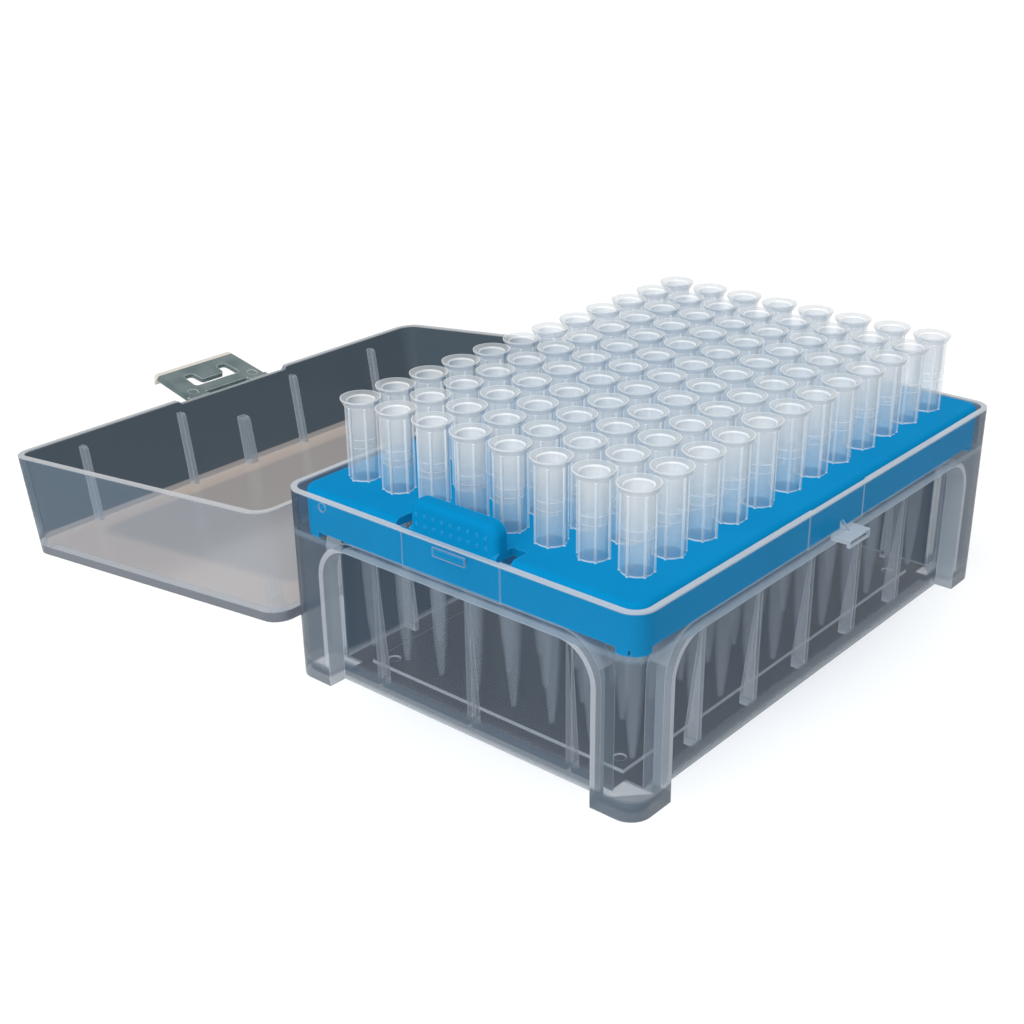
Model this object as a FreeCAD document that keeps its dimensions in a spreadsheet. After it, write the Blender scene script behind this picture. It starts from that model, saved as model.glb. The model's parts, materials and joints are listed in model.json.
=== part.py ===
"""Hinged box of pipette tips: clear base, blue rack, tips, clear lid and its latch clip.

Frame: millimetres, +Z up, origin on the table under the middle of the base.
X runs along the twelve tip columns, Y along the eight tips of a column.
The latch is on the -Y side, the lid's hinge on the +Y side, the rack's grip on the -X side.
The lid is stored open, with its far edge on the table.
"""
import FreeCAD, Part
import os
from math import cos, sin

import Sketcher
from FreeCAD import Vector

CLOSE = 1e-4            # how far apart two points count as one, in mm
TINY_VOLUME = 1e-3      # the least that a cut takes away, in cubic mm

os.makedirs("parts", exist_ok=True)
doc = FreeCAD.newDocument("tip_box")

# --------------------------------------------------------------------------- driving dimensions
DIMENSIONS = [
    # modelling allowances: how far a shape reaches into its carrier, and a cut past its face
    ("bury", 0.6),
    ("past", 2.0),
    # tip grid
    ("tip_pitch", 9.0),
    ("tip_columns", 12),
    ("tip_rows", 8),
    # tip
    ("tip_above_plate", 15.65),
    ("tip_below_plate", 35.8),
    ("tip_lip_diameter", 7.5),
    ("tip_lip_height", 0.25),
    ("tip_lip_chamfer", 1.05),
    ("tip_lip_overhang", 0.05),
    ("tip_rim_width", 0.15),
    ("tip_dish_diameter", 5.3),
    ("tip_dish_depth", 0.4),
    ("tip_mouth_diameter", 4.8),
    ("tip_mouth_depth", 0.7),
    ("tip_body_diameter", 5.5),
    ("tip_neck_diameter", 5.0),
    ("tip_bore_diameter", 3.4),
    ("tip_bore_step", 0.2),
    ("tip_wall", 0.45),
    ("tip_rib_count", 6),
    ("tip_rib_diameter", 0.6),
    ("tip_rib_stand", 0.4),
    ("tip_turn", 137.5),
    ("tip_cone_depth", 11.5),
    ("tip_cone_diameter", 4.0),
    ("tip_point_length", 6.8),
    ("tip_point_diameter", 2.5),
    ("tip_end_diameter", 1.1),
    ("tip_upper_ring_height", 8.2),
    ("tip_lower_ring_height", 6.6),
    ("tip_ring_step", 0.1),
    # base
    ("end_margin", 12.1),
    ("side_margin", 9.75),
    ("base_wall", 1.2),
    ("base_corner_radius", 4.2),
    ("floor_thickness", 1.1),
    ("floor_step", 0.6),
    ("floor_step_margin", 5.5),
    ("tip_floor_gap", 2.25),
    ("floor_mark_diameter", 2.4),
    ("floor_mark_inset", 3.0),
    ("recess_depth", 3.85),
    ("recess_radius", 7.0),
    ("foot_length", 10.0),
    ("foot_width", 9.65),
    ("gusset_thickness", 1.1),
    ("gusset_toe", 1.7),
    ("side_gusset_reach", 2.95),
    ("side_gusset_count", 5),
    ("end_gusset_reach", 2.2),
    ("end_gusset_count", 3),
    ("end_gusset_spacing", 23.0),
    ("relief_depth", 0.25),
    ("latch_relief_width", 19.3),
    ("grip_relief_width", 22.8),
    ("pip_diameter", 1.8),
    ("pip_height", 0.3),
    ("pip_drop", 2.2),
    ("pip_inset", 9.35),
    # latch hook on the base
    ("hook_drop", 3.9),
    ("hook_width", 7.2),
    ("hook_thickness", 1.0),
    ("hook_lip_length", 0.7),
    ("hook_lip_drop", 0.6),
    ("hook_rib_thickness", 1.1),
    ("hook_rib_height", 1.6),
    ("hook_rib_reach", 1.7),
    # rack
    ("rack_rise", 0.55),
    ("rack_height", 8.35),
    ("rack_plate", 1.5),
    ("rack_wall", 1.2),
    ("rack_corner_radius", 3.4),
    ("rack_edge_radius", 1.2),
    ("rack_gap_grip", 0.5),
    ("rack_gap_end", 1.1),
    ("rack_gap_latch", 0.35),
    ("rack_gap_hinge", 1.8),
    ("seat_clearance", 0.15),
    ("lug_drop", 1.15),
    ("lug_length_x", 3.8),
    ("lug_length_y", 4.5),
    ("lug_slit_inset", 1.8),
    ("lug_slit_width", 0.45),
    ("grip_width", 20.0),
    ("grip_rise", 5.1),
    ("grip_thickness", 3.0),
    ("grip_corner_radius", 2.4),
    ("grip_edge_radius", 1.4),
    ("grip_slot_width", 3.3),
    ("grip_slot_depth", 4.4),
    ("grip_dot_count", 9),
    ("grip_dot_rows", 2),
    ("grip_dot_spacing", 2.0),
    ("grip_dot_row_spacing", 1.9),
    ("grip_dot_diameter", 0.7),
    ("grip_dot_height", 0.2),
    ("grip_dot_rise", 0.7),
    ("catch_width", 6.8),
    ("catch_thickness", 1.0),
    ("catch_reach", 0.3),
    ("catch_drop", 2.95),
    ("catch_window_clearance", 0.35),
    ("catch_window_depth", 0.5),
    # lid
    ("lid_gap", 0.3),
    ("lid_wall", 1.4),
    ("lid_corner_radius", 4.8),
    ("lid_draft", 1.87),
    ("lid_overlap", 2.7),
    ("lid_head_gap", 1.8),
    ("lid_plate", 1.25),
    ("lid_ridge_height", 1.3),
    ("lid_ridge_wall", 1.5),
    ("lid_ridge_radius", 0.4),
    ("lid_rib_thickness", 1.2),
    ("lid_rib_reach", 2.0),
    ("lid_rib_inner_spacing", 36.0),
    ("lid_rib_outer_spacing", 92.0),
    ("lid_rib_seat_gap", 0.05),
    ("lid_middle_rib_thickness", 2.2),
    ("lid_middle_rib_reach", 2.6),
    ("lid_middle_rib_drop", 8.6),
    ("lid_notch_width", 33.0),
    ("lid_notch_depth", 1.0),
    # hinge
    ("hinge_offset", 1.72),
    ("hinge_drop", 2.0),
    ("hinge_spacing", 76.0),
    ("pin_diameter", 2.4),
    ("pin_clearance", 0.15),
    ("cheek_radius", 1.7),
    ("cheek_end_radius", 1.5),
    ("cheek_thickness", 2.0),
    ("cheek_root", 5.0),
    ("knuckle_wall", 0.85),
    ("knuckle_width", 6.0),
    ("knuckle_side_gap", 0.3),
    ("knuckle_mouth", 2.0),
    ("knuckle_arm_height", 3.2),
    # latch clip
    ("clip_axis_height", 1.4),
    ("clip_web_thickness", 0.7),
    ("clip_web_gap", 0.15),
    ("clip_web_spacing", 13.3),
    ("clip_wall_gap", 0.25),
    ("clip_thickness", 1.2),
    ("clip_width", 25.0),
    ("clip_taper", 0.3),
    ("clip_length", 15.2),
    ("clip_root", 0.6),
    ("clip_notch_depth", 0.8),
    ("clip_corner_radius", 1.2),
    ("clip_lip_length", 1.3),
    ("clip_lip_height", 1.4),
    ("clip_lip_radius", 0.9),
    ("clip_slot_width", 14.2),
    ("clip_slot_taper", 0.4),
    ("clip_slot_over_hook", 0.7),
    ("clip_tongue_under_hook", 0.25),
    ("clip_tongue_length", 3.7),
    ("clip_tongue_width", 6.8),
    ("clip_slot_radius", 0.9),
    ("clip_hook_clearance", 0.15),
    ("clip_mark_diameter", 2.6),
    ("clip_mark_depth", 0.15),
    ("clip_mark_spacing", 19.0),
    ("clip_mark_drop", 2.8),
    ("clip_rest_swing", 71.0),
]

sheet = doc.addObject("Spreadsheet::Sheet", "sizes")
for row, (alias, number) in enumerate(DIMENSIONS, start=1):
    sheet.set(f"A{row}", alias)
    sheet.set(f"B{row}", str(number))
    sheet.setAlias(f"B{row}", alias)
doc.recompute()

# --------------------------------------------------------------------------- derived sizes
# Expressions over the sheet, so that every feature follows the driving dimensions.
GRID_X = "((sizes.tip_columns - 1) * sizes.tip_pitch / 2)"
GRID_Y = "((sizes.tip_rows - 1) * sizes.tip_pitch / 2)"

FLOOR_TOP = "(sizes.floor_thickness + sizes.floor_step)"
PLATE_TOP = f"({FLOOR_TOP} + sizes.tip_floor_gap + sizes.tip_below_plate)"
LEDGE_TOP = f"({PLATE_TOP} - sizes.rack_height)"
BASE_TOP = f"({PLATE_TOP} - sizes.rack_rise)"
SOFFIT = f"({LEDGE_TOP} - sizes.base_wall)"

BASE_X = f"({GRID_X} + sizes.end_margin)"
BASE_Y = f"({GRID_Y} + sizes.side_margin)"
BASE_IN_X = f"({BASE_X} - sizes.base_wall)"
BASE_IN_Y = f"({BASE_Y} - sizes.base_wall)"
PANEL_X = f"({BASE_X} - sizes.recess_depth)"
PANEL_Y = f"({BASE_Y} - sizes.recess_depth)"
PANEL_IN_X = f"({PANEL_X} - sizes.base_wall)"
PANEL_IN_Y = f"({PANEL_Y} - sizes.base_wall)"
RECESS_X = f"({BASE_X} - sizes.foot_length)"
RECESS_Y = f"({BASE_Y} - sizes.foot_width)"

RACK_LEFT = f"(-{BASE_IN_X} + sizes.rack_gap_grip)"
RACK_RIGHT = f"({BASE_IN_X} - sizes.rack_gap_end)"
RACK_FRONT = f"(-{BASE_IN_Y} + sizes.rack_gap_latch)"
RACK_BACK = f"({BASE_IN_Y} - sizes.rack_gap_hinge)"

NECK_RADIUS = "(sizes.tip_neck_diameter / 2)"

LID_RIM = f"({BASE_TOP} - sizes.lid_overlap)"
LID_X = f"({BASE_X} + sizes.lid_gap + sizes.lid_wall)"
LID_Y = f"({BASE_Y} + sizes.lid_gap + sizes.lid_wall)"
LID_IN_X = f"({BASE_X} + sizes.lid_gap)"
LID_IN_Y = f"({BASE_Y} + sizes.lid_gap)"
LID_INSIDE = f"({PLATE_TOP} + sizes.tip_above_plate + sizes.lid_head_gap - {LID_RIM})"
LID_HEIGHT = f"({LID_INSIDE} + sizes.lid_plate + sizes.lid_ridge_height)"
LID_SHRINK = f"({LID_HEIGHT} * tan(sizes.lid_draft * 1deg))"

HINGE_Y = f"({LID_Y} + sizes.hinge_offset)"
HINGE_Z = f"({LID_RIM} - sizes.hinge_drop)"
STATION = "(sizes.hinge_spacing / 2)"
PIN_RADIUS = "(sizes.pin_diameter / 2)"
BORE_RADIUS = f"({PIN_RADIUS} + sizes.pin_clearance)"
KNUCKLE_RADIUS = f"({BORE_RADIUS} + sizes.knuckle_wall)"

# The lid is drawn closed with its hinge axis as origin, then swung open until the rounded
# edge of its ridge meets the table.
EDGE_Y = f"({HINGE_Y} + {LID_Y} - {LID_SHRINK} - sizes.lid_ridge_radius)"
EDGE_Z = f"({LID_RIM} + {LID_HEIGHT} - sizes.lid_ridge_radius - {HINGE_Z})"
EDGE_REACH = f"sqrt({EDGE_Y} ^ 2 + {EDGE_Z} ^ 2)"
OPEN_ANGLE = (
    f"(180 + asin(({HINGE_Z} - sizes.lid_ridge_radius) / {EDGE_REACH}) / 1deg"
    f" - atan({EDGE_Z} / {EDGE_Y}) / 1deg)"
)

# The clip is drawn hanging from its own axis as origin, as it hangs when latched.
CLIP_AXIS_Y = f"({LID_Y} + sizes.clip_web_gap + sizes.clip_web_thickness / 2)"
CLIP_AXIS_Z = f"({LID_RIM} + sizes.clip_axis_height)"
CLIP_IN = f"({LID_Y} + sizes.clip_wall_gap - {CLIP_AXIS_Y})"
CLIP_OUT = f"({CLIP_IN} + sizes.clip_thickness)"

HOOK_TOP = f"({LID_RIM} - sizes.hook_drop)"
HOOK_UNDER = f"({HOOK_TOP} - sizes.hook_thickness)"
HOOK_LIP = f"({CLIP_AXIS_Y} + {CLIP_OUT} + sizes.clip_hook_clearance)"
HOOK_END = f"({HOOK_LIP} + sizes.hook_lip_length)"
SLOT_TOP = f"({CLIP_AXIS_Z} - {HOOK_TOP} - sizes.clip_slot_over_hook)"
TONGUE_END = f"({CLIP_AXIS_Z} - {HOOK_UNDER} + sizes.clip_tongue_under_hook)"


def minus(expression):
    """The same size on the other side of the origin."""
    return f"(-{expression})"


def number(expression):
    """What an expression over the sheet comes to now."""
    result = sheet.evalExpression(expression)
    return float(getattr(result, "Value", result))


# --------------------------------------------------------------------------- sketch helpers
def new_body(label):
    """A body whose label names its file."""
    body = doc.addObject("PartDesign::Body", label)
    body.Label = label
    return body


def new_sketch(body, plane, offset="0"):
    """A sketch on one of the body's origin planes, moved along the plane's normal."""
    sketch = body.newObject("Sketcher::SketchObject", f"{body.Name}_sketch")
    support = next(item for item in body.Origin.OriginFeatures if item.Role == plane)
    sketch.AttachmentSupport = [(support, "")]
    sketch.MapMode = "FlatFace"
    sketch.setExpression("AttachmentOffset.Base.z", offset)
    return sketch


def constrain(sketch, pairs):
    """Add constraints together, then tie each dimensional one to its expression."""
    indices = sketch.addConstraint([constraint for constraint, _ in pairs])
    for index, (_, expression) in zip(indices, pairs):
        if expression:
            sketch.setExpression(f"Constraints[{index}]", expression)


def placed(geometry, point, x, y):
    """Constraints that hold one point of a geometry at expressions from the sketch's origin."""
    return [
        (Sketcher.Constraint("DistanceX", -1, 1, geometry, point, number(x)), x),
        (Sketcher.Constraint("DistanceY", -1, 1, geometry, point, number(y)), y),
    ]


def draw_circle(sketch, x, y, radius):
    """A circle at two expressions with a radius that follows the sheet."""
    centre = Vector(number(x), number(y), 0)
    index = sketch.addGeometry(Part.Circle(centre, Vector(0, 0, 1), number(radius)))
    size = Sketcher.Constraint("Radius", index, number(radius))
    constrain(sketch, [*placed(index, 3, x, y), (size, radius)])


def draw_outline(sketch, corners):
    """A closed outline of straight sides, its corners given as (x, y) or (x, y, radius).

    A rounded corner keeps its sharp corner as a construction point, so that the sides stay
    on the line between two corners whatever the radius.
    """
    spots = [Vector(number(corner[0]), number(corner[1]), 0) for corner in corners]
    radii = [number(corner[2]) if len(corner) > 2 else 0.0 for corner in corners]
    count = len(corners)
    starts, ends, middles = [], [], []
    for index, spot in enumerate(spots):
        to_last = (spots[index - 1] - spot).normalize()
        to_next = (spots[(index + 1) % count] - spot).normalize()
        half = to_last.getAngle(to_next) / 2
        reach = radii[index] * cos(half) / sin(half)
        starts.append(spot + to_last * reach)
        ends.append(spot + to_next * reach)
        if radii[index]:
            depth = radii[index] / sin(half) - radii[index]
            middles.append(spot + (to_last + to_next).normalize() * depth)
        else:
            middles.append(spot)
    lines = [
        sketch.addGeometry(Part.LineSegment(ends[index], starts[(index + 1) % count]))
        for index in range(count)
    ]
    pairs = []
    for index, corner in enumerate(corners):
        before, after = lines[index - 1], lines[index]
        if not radii[index]:
            pairs.append((Sketcher.Constraint("Coincident", before, 2, after, 1), None))
            pairs.extend(placed(after, 1, corner[0], corner[1]))
            continue
        mark = sketch.addGeometry(Part.Point(spots[index]), True)
        arc = sketch.addGeometry(Part.Arc(starts[index], middles[index], ends[index]))
        forwards = sketch.Geometry[arc].Axis.z > 0
        first, last = (1, 2) if forwards else (2, 1)
        pairs.extend(placed(mark, 1, corner[0], corner[1]))
        pairs.extend(
            [
                (Sketcher.Constraint("PointOnObject", mark, 1, before), None),
                (Sketcher.Constraint("PointOnObject", mark, 1, after), None),
                (Sketcher.Constraint("Tangent", before, 2, arc, first), None),
                (Sketcher.Constraint("Tangent", after, 1, arc, last), None),
                (Sketcher.Constraint("Radius", arc, radii[index]), corner[2]),
            ]
        )
    constrain(sketch, pairs)


def draw_rectangle(sketch, left, bottom, right, top, radius=None):
    """A rectangle between four expressions, with rounded corners if a radius is given."""
    extra = (radius,) if radius else ()
    draw_outline(
        sketch,
        [
            (left, bottom, *extra),
            (right, bottom, *extra),
            (right, top, *extra),
            (left, top, *extra),
        ],
    )


# --------------------------------------------------------------------------- feature helpers
def finish(body, feature):
    """Recompute a new feature and make it the body's tip."""
    body.Tip = feature
    doc.recompute()
    if not feature.isValid() or feature.Shape.isNull():
        raise RuntimeError(f"{body.Label}: {feature.Name} failed")
    return feature


def pad(body, sketch, length, reverse=False, both_ways=False, taper=None):
    """Add the sketch's outline, pushed out along its normal."""
    feature = body.newObject("PartDesign::Pad", f"{body.Name}_pad")
    feature.Profile = sketch
    feature.setExpression("Length", length)
    feature.Reversed = reverse
    feature.SideType = "Symmetric" if both_ways else "One side"
    if taper:
        feature.setExpression("TaperAngle", taper)
    return finish(body, feature)


def pocket(body, sketch, length, reverse=False, both_ways=False, taper=None):
    """Cut the sketch's outline away against its normal, and check that it cut."""
    before = body.Shape.Volume
    feature = body.newObject("PartDesign::Pocket", f"{body.Name}_pocket")
    feature.Profile = sketch
    feature.setExpression("Length", length)
    feature.Reversed = reverse
    feature.SideType = "Symmetric" if both_ways else "One side"
    if taper:
        feature.setExpression("TaperAngle", taper)
    finish(body, feature)
    if feature.Shape.Volume > before - TINY_VOLUME:
        raise RuntimeError(f"{body.Label}: {feature.Name} cut nothing")
    return feature


def mirror(body, features, plane):
    """Repeat features on the other side of an origin plane."""
    feature = body.newObject("PartDesign::Mirrored", f"{body.Name}_mirror")
    feature.Originals = features
    support = next(item for item in body.Origin.OriginFeatures if item.Role == plane)
    feature.MirrorPlane = (support, [""])
    return finish(body, feature)


def row(body, features, axis, spacing, count):
    """Repeat features along an origin axis."""
    feature = body.newObject("PartDesign::LinearPattern", f"{body.Name}_row")
    feature.Originals = features
    support = next(item for item in body.Origin.OriginFeatures if item.Role == axis)
    feature.Direction = (support, [""])
    feature.Mode = "Spacing"
    feature.setExpression("Offset", spacing)
    feature.setExpression("Occurrences", count)
    return finish(body, feature)


def fillet(body, radius, chosen):
    """Round the edges of the body's tip that a test picks."""
    base = body.Tip
    names = [f"Edge{i}" for i, edge in enumerate(base.Shape.Edges, start=1) if chosen(edge)]
    if not names:
        raise RuntimeError(f"{body.Label}: no edge to round")
    feature = body.newObject("PartDesign::Fillet", f"{body.Name}_fillet")
    feature.Base = (base, names)
    feature.setExpression("Radius", radius)
    return finish(body, feature)


def lies_at(edge, height):
    """Whether an edge lies level at a height."""
    box = edge.BoundBox
    return abs(box.ZMin - height) < CLOSE and abs(box.ZMax - height) < CLOSE


# --------------------------------------------------------------------------- base
def build_base():
    """Clear tub on four corner feet, with recessed sides, latch hook and hinge pins."""
    body = new_body("base")

    outside = new_sketch(body, "XY_Plane")
    draw_rectangle(
        outside, minus(BASE_X), minus(BASE_Y), BASE_X, BASE_Y, "sizes.base_corner_radius"
    )
    pad(body, outside, BASE_TOP)
    inside = new_sketch(body, "XY_Plane", BASE_TOP)
    draw_rectangle(
        inside,
        minus(BASE_IN_X),
        minus(BASE_IN_Y),
        BASE_IN_X,
        BASE_IN_Y,
        "sizes.base_corner_radius - sizes.base_wall",
    )
    pocket(body, inside, f"{BASE_TOP} - sizes.floor_thickness")

    add_recess(body, "XZ_Plane", RECESS_X, BASE_Y, PANEL_IN_Y)
    add_recess(body, "YZ_Plane", RECESS_Y, BASE_X, PANEL_IN_X)
    add_floor(body)
    add_gussets(body)
    add_reliefs(body)
    add_hook(body)
    add_hinge_pins(body)
    return body


def add_recess(body, plane, half, wall, panel_in):
    """Set back both sides that face along the plane's normal, under a ledge for the rack."""
    block = new_sketch(body, plane, f"{wall} - sizes.bury")
    block_half = f"({half} + sizes.base_wall)"
    block_radius = "sizes.recess_radius + sizes.base_wall"
    draw_outline(
        block,
        [
            (minus(block_half), "0"),
            (block_half, "0"),
            (block_half, LEDGE_TOP, block_radius),
            (minus(block_half), LEDGE_TOP, block_radius),
        ],
    )
    added = pad(body, block, f"{wall} - {panel_in} - sizes.bury", reverse=True)
    mirror(body, [added], plane)

    opening = new_sketch(body, plane, f"{wall} + sizes.past")
    draw_outline(
        opening,
        [
            (minus(half), "-sizes.past"),
            (half, "-sizes.past"),
            (half, SOFFIT, "sizes.recess_radius"),
            (minus(half), SOFFIT, "sizes.recess_radius"),
        ],
    )
    cut = pocket(body, opening, "sizes.recess_depth + sizes.past")
    mirror(body, [cut], plane)


def add_floor(body):
    """Raised middle of the floor, with a small round mark inside each of its corners."""
    half_x = f"({PANEL_IN_X} - sizes.floor_step_margin)"
    half_y = f"({PANEL_IN_Y} - sizes.floor_step_margin)"
    step = new_sketch(body, "XY_Plane", "sizes.floor_thickness / 2")
    draw_rectangle(step, minus(half_x), minus(half_y), half_x, half_y)
    pad(body, step, "sizes.floor_thickness / 2 + sizes.floor_step")
    marks = new_sketch(body, "XY_Plane", FLOOR_TOP)
    for x_sign in ("-", ""):
        for y_sign in ("-", ""):
            mark_x = f"({x_sign}({half_x} - sizes.floor_mark_inset))"
            mark_y = f"({y_sign}({half_y} - sizes.floor_mark_inset))"
            draw_circle(marks, mark_x, mark_y, "sizes.floor_mark_diameter / 2")
    pocket(body, marks, "sizes.floor_step / 2")


def add_gussets(body):
    """Upright ribs, widest at the floor, that stiffen the recessed sides."""
    foot = f"({FLOOR_TOP} + sizes.gusset_toe)"
    root = "(sizes.floor_thickness / 2)"

    side = new_sketch(body, "YZ_Plane", "-2 * sizes.tip_pitch * (sizes.side_gusset_count - 1) / 2")
    for sign in ("-", ""):
        wall = f"({sign}({PANEL_IN_Y} + sizes.bury))"
        face = f"({sign}{PANEL_IN_Y})"
        reach = f"({sign}({PANEL_IN_Y} - sizes.side_gusset_reach))"
        draw_outline(side, [(wall, root), (reach, root), (reach, foot), (face, SOFFIT), (wall, SOFFIT)])
    added = pad(body, side, "sizes.gusset_thickness", both_ways=True)
    row(body, [added], "X_Axis", "2 * sizes.tip_pitch", "sizes.side_gusset_count")

    first = "sizes.end_gusset_spacing * (sizes.end_gusset_count - 1) / 2"
    end = new_sketch(body, "XZ_Plane", first)
    for sign in ("-", ""):
        wall = f"({sign}({PANEL_IN_X} + sizes.bury))"
        face = f"({sign}{PANEL_IN_X})"
        reach = f"({sign}({PANEL_IN_X} - sizes.end_gusset_reach))"
        draw_outline(end, [(wall, root), (reach, root), (reach, foot), (face, SOFFIT), (wall, SOFFIT)])
    added = pad(body, end, "sizes.gusset_thickness", both_ways=True)
    row(body, [added], "Y_Axis", "sizes.end_gusset_spacing", "sizes.end_gusset_count")


def add_reliefs(body):
    """Thinned panels inside the latch side and the grip side, and what the grip side holds."""
    latch = new_sketch(body, "XZ_Plane", f"{BASE_IN_Y} + sizes.relief_depth")
    draw_rectangle(
        latch,
        "-sizes.latch_relief_width / 2",
        LEDGE_TOP,
        "sizes.latch_relief_width / 2",
        f"{BASE_TOP} + sizes.past",
    )
    pocket(body, latch, "sizes.relief_depth + sizes.past")

    grip = new_sketch(body, "YZ_Plane", f"-{BASE_IN_X} - sizes.relief_depth")
    draw_rectangle(
        grip,
        "-sizes.grip_relief_width / 2",
        LEDGE_TOP,
        "sizes.grip_relief_width / 2",
        f"{BASE_TOP} + sizes.past",
    )
    pocket(body, grip, "sizes.relief_depth + sizes.past", reverse=True)

    middle = f"({PLATE_TOP} - sizes.catch_drop)"
    half_height = "(sizes.catch_thickness / 2 + sizes.catch_window_clearance)"
    half_width = "(sizes.catch_width / 2 + sizes.catch_window_clearance)"
    window = new_sketch(body, "YZ_Plane", f"-{BASE_IN_X} - sizes.catch_window_depth")
    draw_rectangle(
        window,
        f"-{half_width}",
        f"{middle} - {half_height}",
        half_width,
        f"{middle} + {half_height}",
    )
    pocket(body, window, "sizes.catch_window_depth", reverse=True)

    pip = new_sketch(body, "YZ_Plane", f"-{BASE_IN_X} - sizes.base_wall / 2")
    draw_circle(
        pip,
        f"{BASE_Y} - sizes.pip_inset",
        f"{BASE_TOP} - sizes.pip_drop",
        "sizes.pip_diameter / 2",
    )
    pad(body, pip, "sizes.base_wall / 2 + sizes.pip_height")


def add_hook(body):
    """Hook that the clip hangs over: a block with a turned-down lip and a rib on top."""
    wall = f"(-{BASE_Y} + sizes.bury)"
    hook = new_sketch(body, "YZ_Plane")
    draw_outline(
        hook,
        [
            (wall, HOOK_TOP),
            (minus(HOOK_END), HOOK_TOP),
            (minus(HOOK_END), f"{HOOK_UNDER} - sizes.hook_lip_drop"),
            (minus(HOOK_LIP), f"{HOOK_UNDER} - sizes.hook_lip_drop"),
            (minus(HOOK_LIP), HOOK_UNDER),
            (wall, HOOK_UNDER),
        ],
    )
    pad(body, hook, "sizes.hook_width", both_ways=True)

    rib = new_sketch(body, "YZ_Plane")
    root = f"({HOOK_TOP} - sizes.hook_thickness / 2)"
    tip = f"(-{BASE_Y} - sizes.hook_rib_reach)"
    draw_outline(
        rib,
        [
            (wall, root),
            (tip, root),
            (tip, HOOK_TOP),
            (minus(BASE_Y), f"{HOOK_TOP} + sizes.hook_rib_height"),
            (wall, f"{HOOK_TOP} + sizes.hook_rib_height"),
        ],
    )
    pad(body, rib, "sizes.hook_rib_thickness", both_ways=True)


def add_hinge_pins(body):
    """Two stations on the hinge side, each a pin between two cheeks."""
    cheek_half = "(sizes.knuckle_width / 2 + sizes.knuckle_side_gap + sizes.cheek_thickness)"
    wall = f"({BASE_Y} - sizes.bury)"
    end = f"({HINGE_Y} + sizes.cheek_radius)"
    over = f"({HINGE_Z} + sizes.cheek_radius)"
    under = f"({HINGE_Z} - sizes.cheek_radius)"
    cheeks = new_sketch(body, "YZ_Plane", f"{STATION} - {cheek_half}")
    draw_outline(
        cheeks,
        [
            (wall, over),
            (wall, f"{HINGE_Z} - sizes.cheek_root"),
            (BASE_Y, f"{HINGE_Z} - sizes.cheek_root"),
            (f"{HINGE_Y} - sizes.cheek_radius / 2", under),
            (end, under, "sizes.cheek_end_radius"),
            (end, over, "sizes.cheek_end_radius"),
        ],
    )
    block = pad(body, cheeks, f"2 * {cheek_half}")
    gap_half = "(sizes.knuckle_width / 2 + sizes.knuckle_side_gap)"
    gap = new_sketch(body, "XZ_Plane", f"-{end} - sizes.past")
    draw_rectangle(
        gap,
        f"{STATION} - {gap_half}",
        f"{HINGE_Z} - sizes.cheek_root - sizes.past",
        f"{STATION} + {gap_half}",
        f"{over} + sizes.past",
    )
    slot = pocket(body, gap, f"{end} + sizes.past - {BASE_Y}", reverse=True)
    pin = new_sketch(body, "YZ_Plane", f"{STATION} - {cheek_half} + sizes.cheek_thickness / 2")
    draw_circle(pin, HINGE_Y, HINGE_Z, PIN_RADIUS)
    bar = pad(body, pin, f"2 * {cheek_half} - sizes.cheek_thickness")
    mirror(body, [block, slot, bar], "YZ_Plane")


# --------------------------------------------------------------------------- rack
def build_rack():
    """Blue plate on a skirt that stands on the base's ledge, with a raised grip."""
    body = new_body("rack")

    outside = new_sketch(body, "XY_Plane", LEDGE_TOP)
    draw_rectangle(
        outside, RACK_LEFT, RACK_FRONT, RACK_RIGHT, RACK_BACK, "sizes.rack_corner_radius"
    )
    pad(body, outside, "sizes.rack_height")
    fillet(body, "sizes.rack_edge_radius", lambda edge: lies_at(edge, number(PLATE_TOP)))

    inside = new_sketch(body, "XY_Plane", LEDGE_TOP)
    draw_rectangle(
        inside,
        f"{RACK_LEFT} + sizes.rack_wall",
        f"{RACK_FRONT} + sizes.rack_wall",
        f"{RACK_RIGHT} - sizes.rack_wall",
        f"{RACK_BACK} - sizes.rack_wall",
        "sizes.rack_corner_radius - sizes.rack_wall",
    )
    pocket(body, inside, "sizes.rack_height - sizes.rack_plate", reverse=True)
    add_lugs(body)
    add_grip(body)

    seats = new_sketch(body, "XY_Plane", PLATE_TOP)
    for index in range(round(number("sizes.tip_rows"))):
        seat_y = f"{GRID_Y} - {index} * sizes.tip_pitch"
        draw_circle(seats, minus(GRID_X), seat_y, f"{NECK_RADIUS} + sizes.seat_clearance")
    holes = pocket(body, seats, "sizes.rack_plate")
    row(body, [holes], "X_Axis", "sizes.tip_pitch", "sizes.tip_columns")
    return body


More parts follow.
